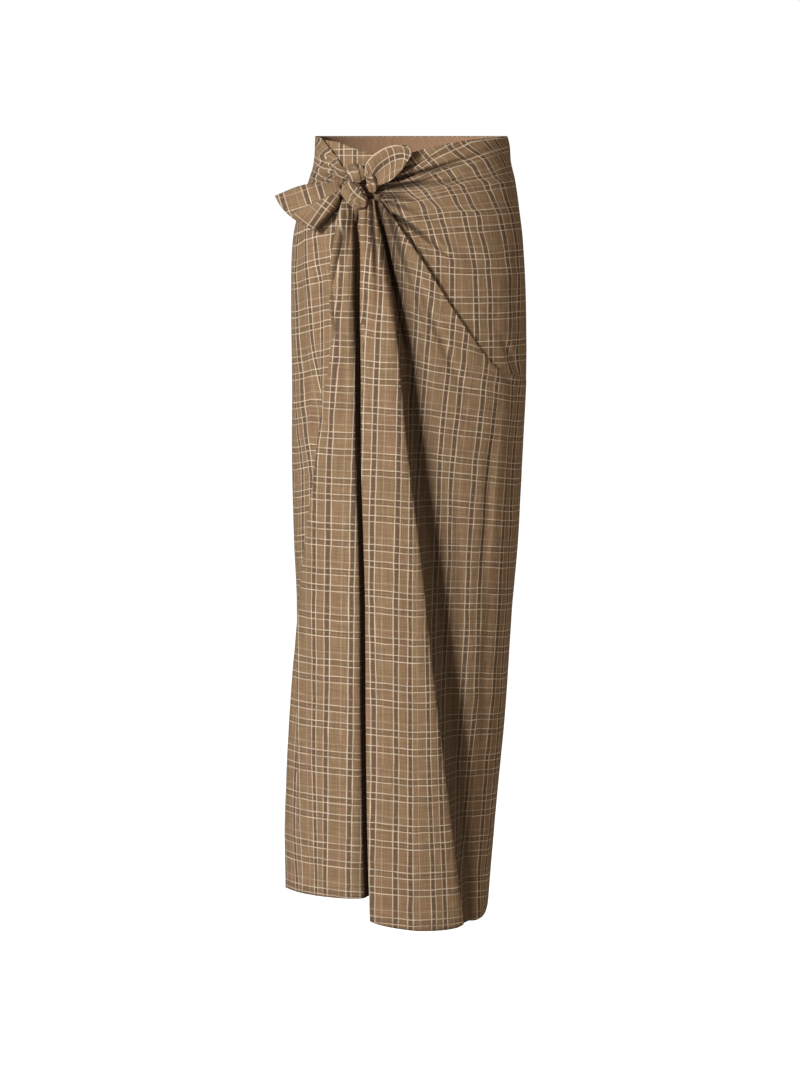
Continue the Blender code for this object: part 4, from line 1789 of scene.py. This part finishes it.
@dataclass(frozen=True)
class FacingCloth:
    """Plain brown cotton of the waist facing."""

    name: str = "facing_cloth"
    brown: Colour = (0.560, 0.335, 0.205, 1)
    shade: Colour = (0.480, 0.285, 0.170, 1)
    yarn_scale: Scale = (500.0, 60.0, 1.0)
    yarn_ramp: tuple[float, float] = (0.3, 0.7)
    roughness: float = 0.88
    specular: float = 0.25
    bump: float = 0.3
    yarn_height: float = 0.0005  # in metres

    def build(self) -> bpy.types.Material:
        """Makes the material.

        Returns:
            The facing's material, which reads the piece's weave map.
        """
        material = bpy.data.materials.new(self.name)
        graph = Graph(material)
        yarn = graph.slub(graph.node("ShaderNodeUVMap", {"uv_map": "weave"}), self.yarn_scale)
        graph.close(
            Base_Color=graph.mix(yarn.ramp(*self.yarn_ramp), self.shade, self.brown),
            Roughness=self.roughness,
            Specular_IOR_Level=self.specular,
            Normal=graph.node(
                "ShaderNodeBump", None, Strength=self.bump, Distance=self.yarn_height, Height=yarn
            ),
        )
        return material


@dataclass(frozen=True)
class Lamp:
    """Soft square light, with its place, aim and size in metres and its power in watts."""

    name: str
    place: tuple[float, float, float]
    power: float
    size: float
    tint: tuple[float, float, float] = (1.0, 0.99, 0.97)
    aim: tuple[float, float, float] = (0.0, 0.0, -0.5)

    def build(self) -> None:
        """Hangs the light, turned to the middle of the skirt."""
        lamp = bpy.data.lights.new(self.name, "AREA")
        lamp.energy = self.power
        lamp.size = self.size
        lamp.color = self.tint
        holder = bpy.data.objects.new(self.name, lamp)
        holder.location = self.place
        sight = Vector(self.aim) - Vector(self.place)
        holder.rotation_euler = sight.to_track_quat("-Z", "Y").to_euler()
        bpy.context.scene.collection.objects.link(holder)


@dataclass(frozen=True)
class Studio:
    """Camera, lights, floor and white surround."""

    camera_place: tuple[float, float, float] = (-0.01564, -5.0, 0.0)
    camera_fall: float = 0.10833  # radians that the camera looks down
    focal: float = 3654.95  # in rows of the photograph
    photo_rows: float = 1067.0
    sensor: float = 36.0
    white: Colour = (1.0, 1.0, 1.0, 1.0)
    floor_colour: Colour = (0.9, 0.9, 0.9, 1.0)
    floor_height: float = -1.25
    floor_half: float = 60.0
    fill: float = 0.10
    fill_tint: Colour = (1.0, 0.88, 0.74, 1.0)
    lamps: tuple[Lamp, ...] = (
        Lamp("key", (-2.1, -3.0, 0.9), 108.0, 0.5),
        Lamp("low", (-1.7, -2.0, -1.2), 21.0, 0.5),
        Lamp("rim", (2.2, -1.2, -0.9), 11.0, 0.4, (1.0, 0.86, 0.72)),
    )

    def camera(self) -> None:
        """Camera at the photograph's viewing angle."""
        lens = bpy.data.cameras.new("camera")
        lens.sensor_fit = "VERTICAL"
        lens.sensor_height = self.sensor
        lens.lens = self.focal / self.photo_rows * self.sensor
        seer = bpy.data.objects.new("camera", lens)
        seer.location = self.camera_place
        seer.rotation_euler = (pi / 2 - self.camera_fall, 0.0, 0.0)
        bpy.context.scene.collection.objects.link(seer)
        bpy.context.scene.camera = seer

    def surround(self) -> None:
        """White to the camera, and a soft warm light on the cloth."""
        world = bpy.data.worlds.new("white studio")
        graph = Graph(world, "World Output")
        soft = graph.node("ShaderNodeBackground", None, self.fill_tint, self.fill)
        white = graph.node("ShaderNodeBackground", None, self.white, 1.0)
        seen = graph.node("ShaderNodeLightPath", out="Is Camera Ray")
        graph.close(Surface=graph.node("ShaderNodeMixShader", None, seen, soft, white))
        bpy.context.scene.world = world

    def floor(self) -> None:
        """Plain pale floor, lit evenly."""
        bm = bmesh.new()
        bmesh.ops.create_grid(bm, x_segments=1, y_segments=1, size=self.floor_half)
        bmesh.ops.translate(bm, verts=bm.verts, vec=(0.0, 0.0, self.floor_height))
        mesh = bpy.data.meshes.new("floor")
        bm.to_mesh(mesh)
        bm.free()
        material = bpy.data.materials.new("pale_floor")
        Graph(material).close(
            Base_Color=self.floor_colour, Roughness=1.0, Emission_Color=self.white, Emission_Strength=1.0
        )
        mesh.materials.append(material)
        floor = bpy.data.objects.new("floor", mesh)
        floor.visible_diffuse = False
        floor.visible_glossy = False
        bpy.context.scene.collection.objects.link(floor)

    def build(self) -> None:
        """Sets the whole studio up."""
        self.camera()
        self.surround()
        self.floor()
        for lamp in self.lamps:
            lamp.build()
        bpy.context.scene.view_settings.view_transform = "Standard"


def main() -> None:
    """Dresses the frame, piece by piece, and logs each piece's cloth size."""
    logging.basicConfig(level=logging.INFO, format="%(message)s")
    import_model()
    Studio().build()
    check, facing = CheckCloth().build(), FacingCloth().build()
    BackPanel().build(check)
    BackFacing().build(facing)
    fronts = (UnderFront(), LeftWrap(), HipWrap(), FrontDrape())
    tie = (LeftTail(), RightTail(), KnotLoop(), KnotStrap(), KnotTuck())
    for panel in (*fronts, *tie):
        panel.build(check)


if __name__ == "__main__":
    main()
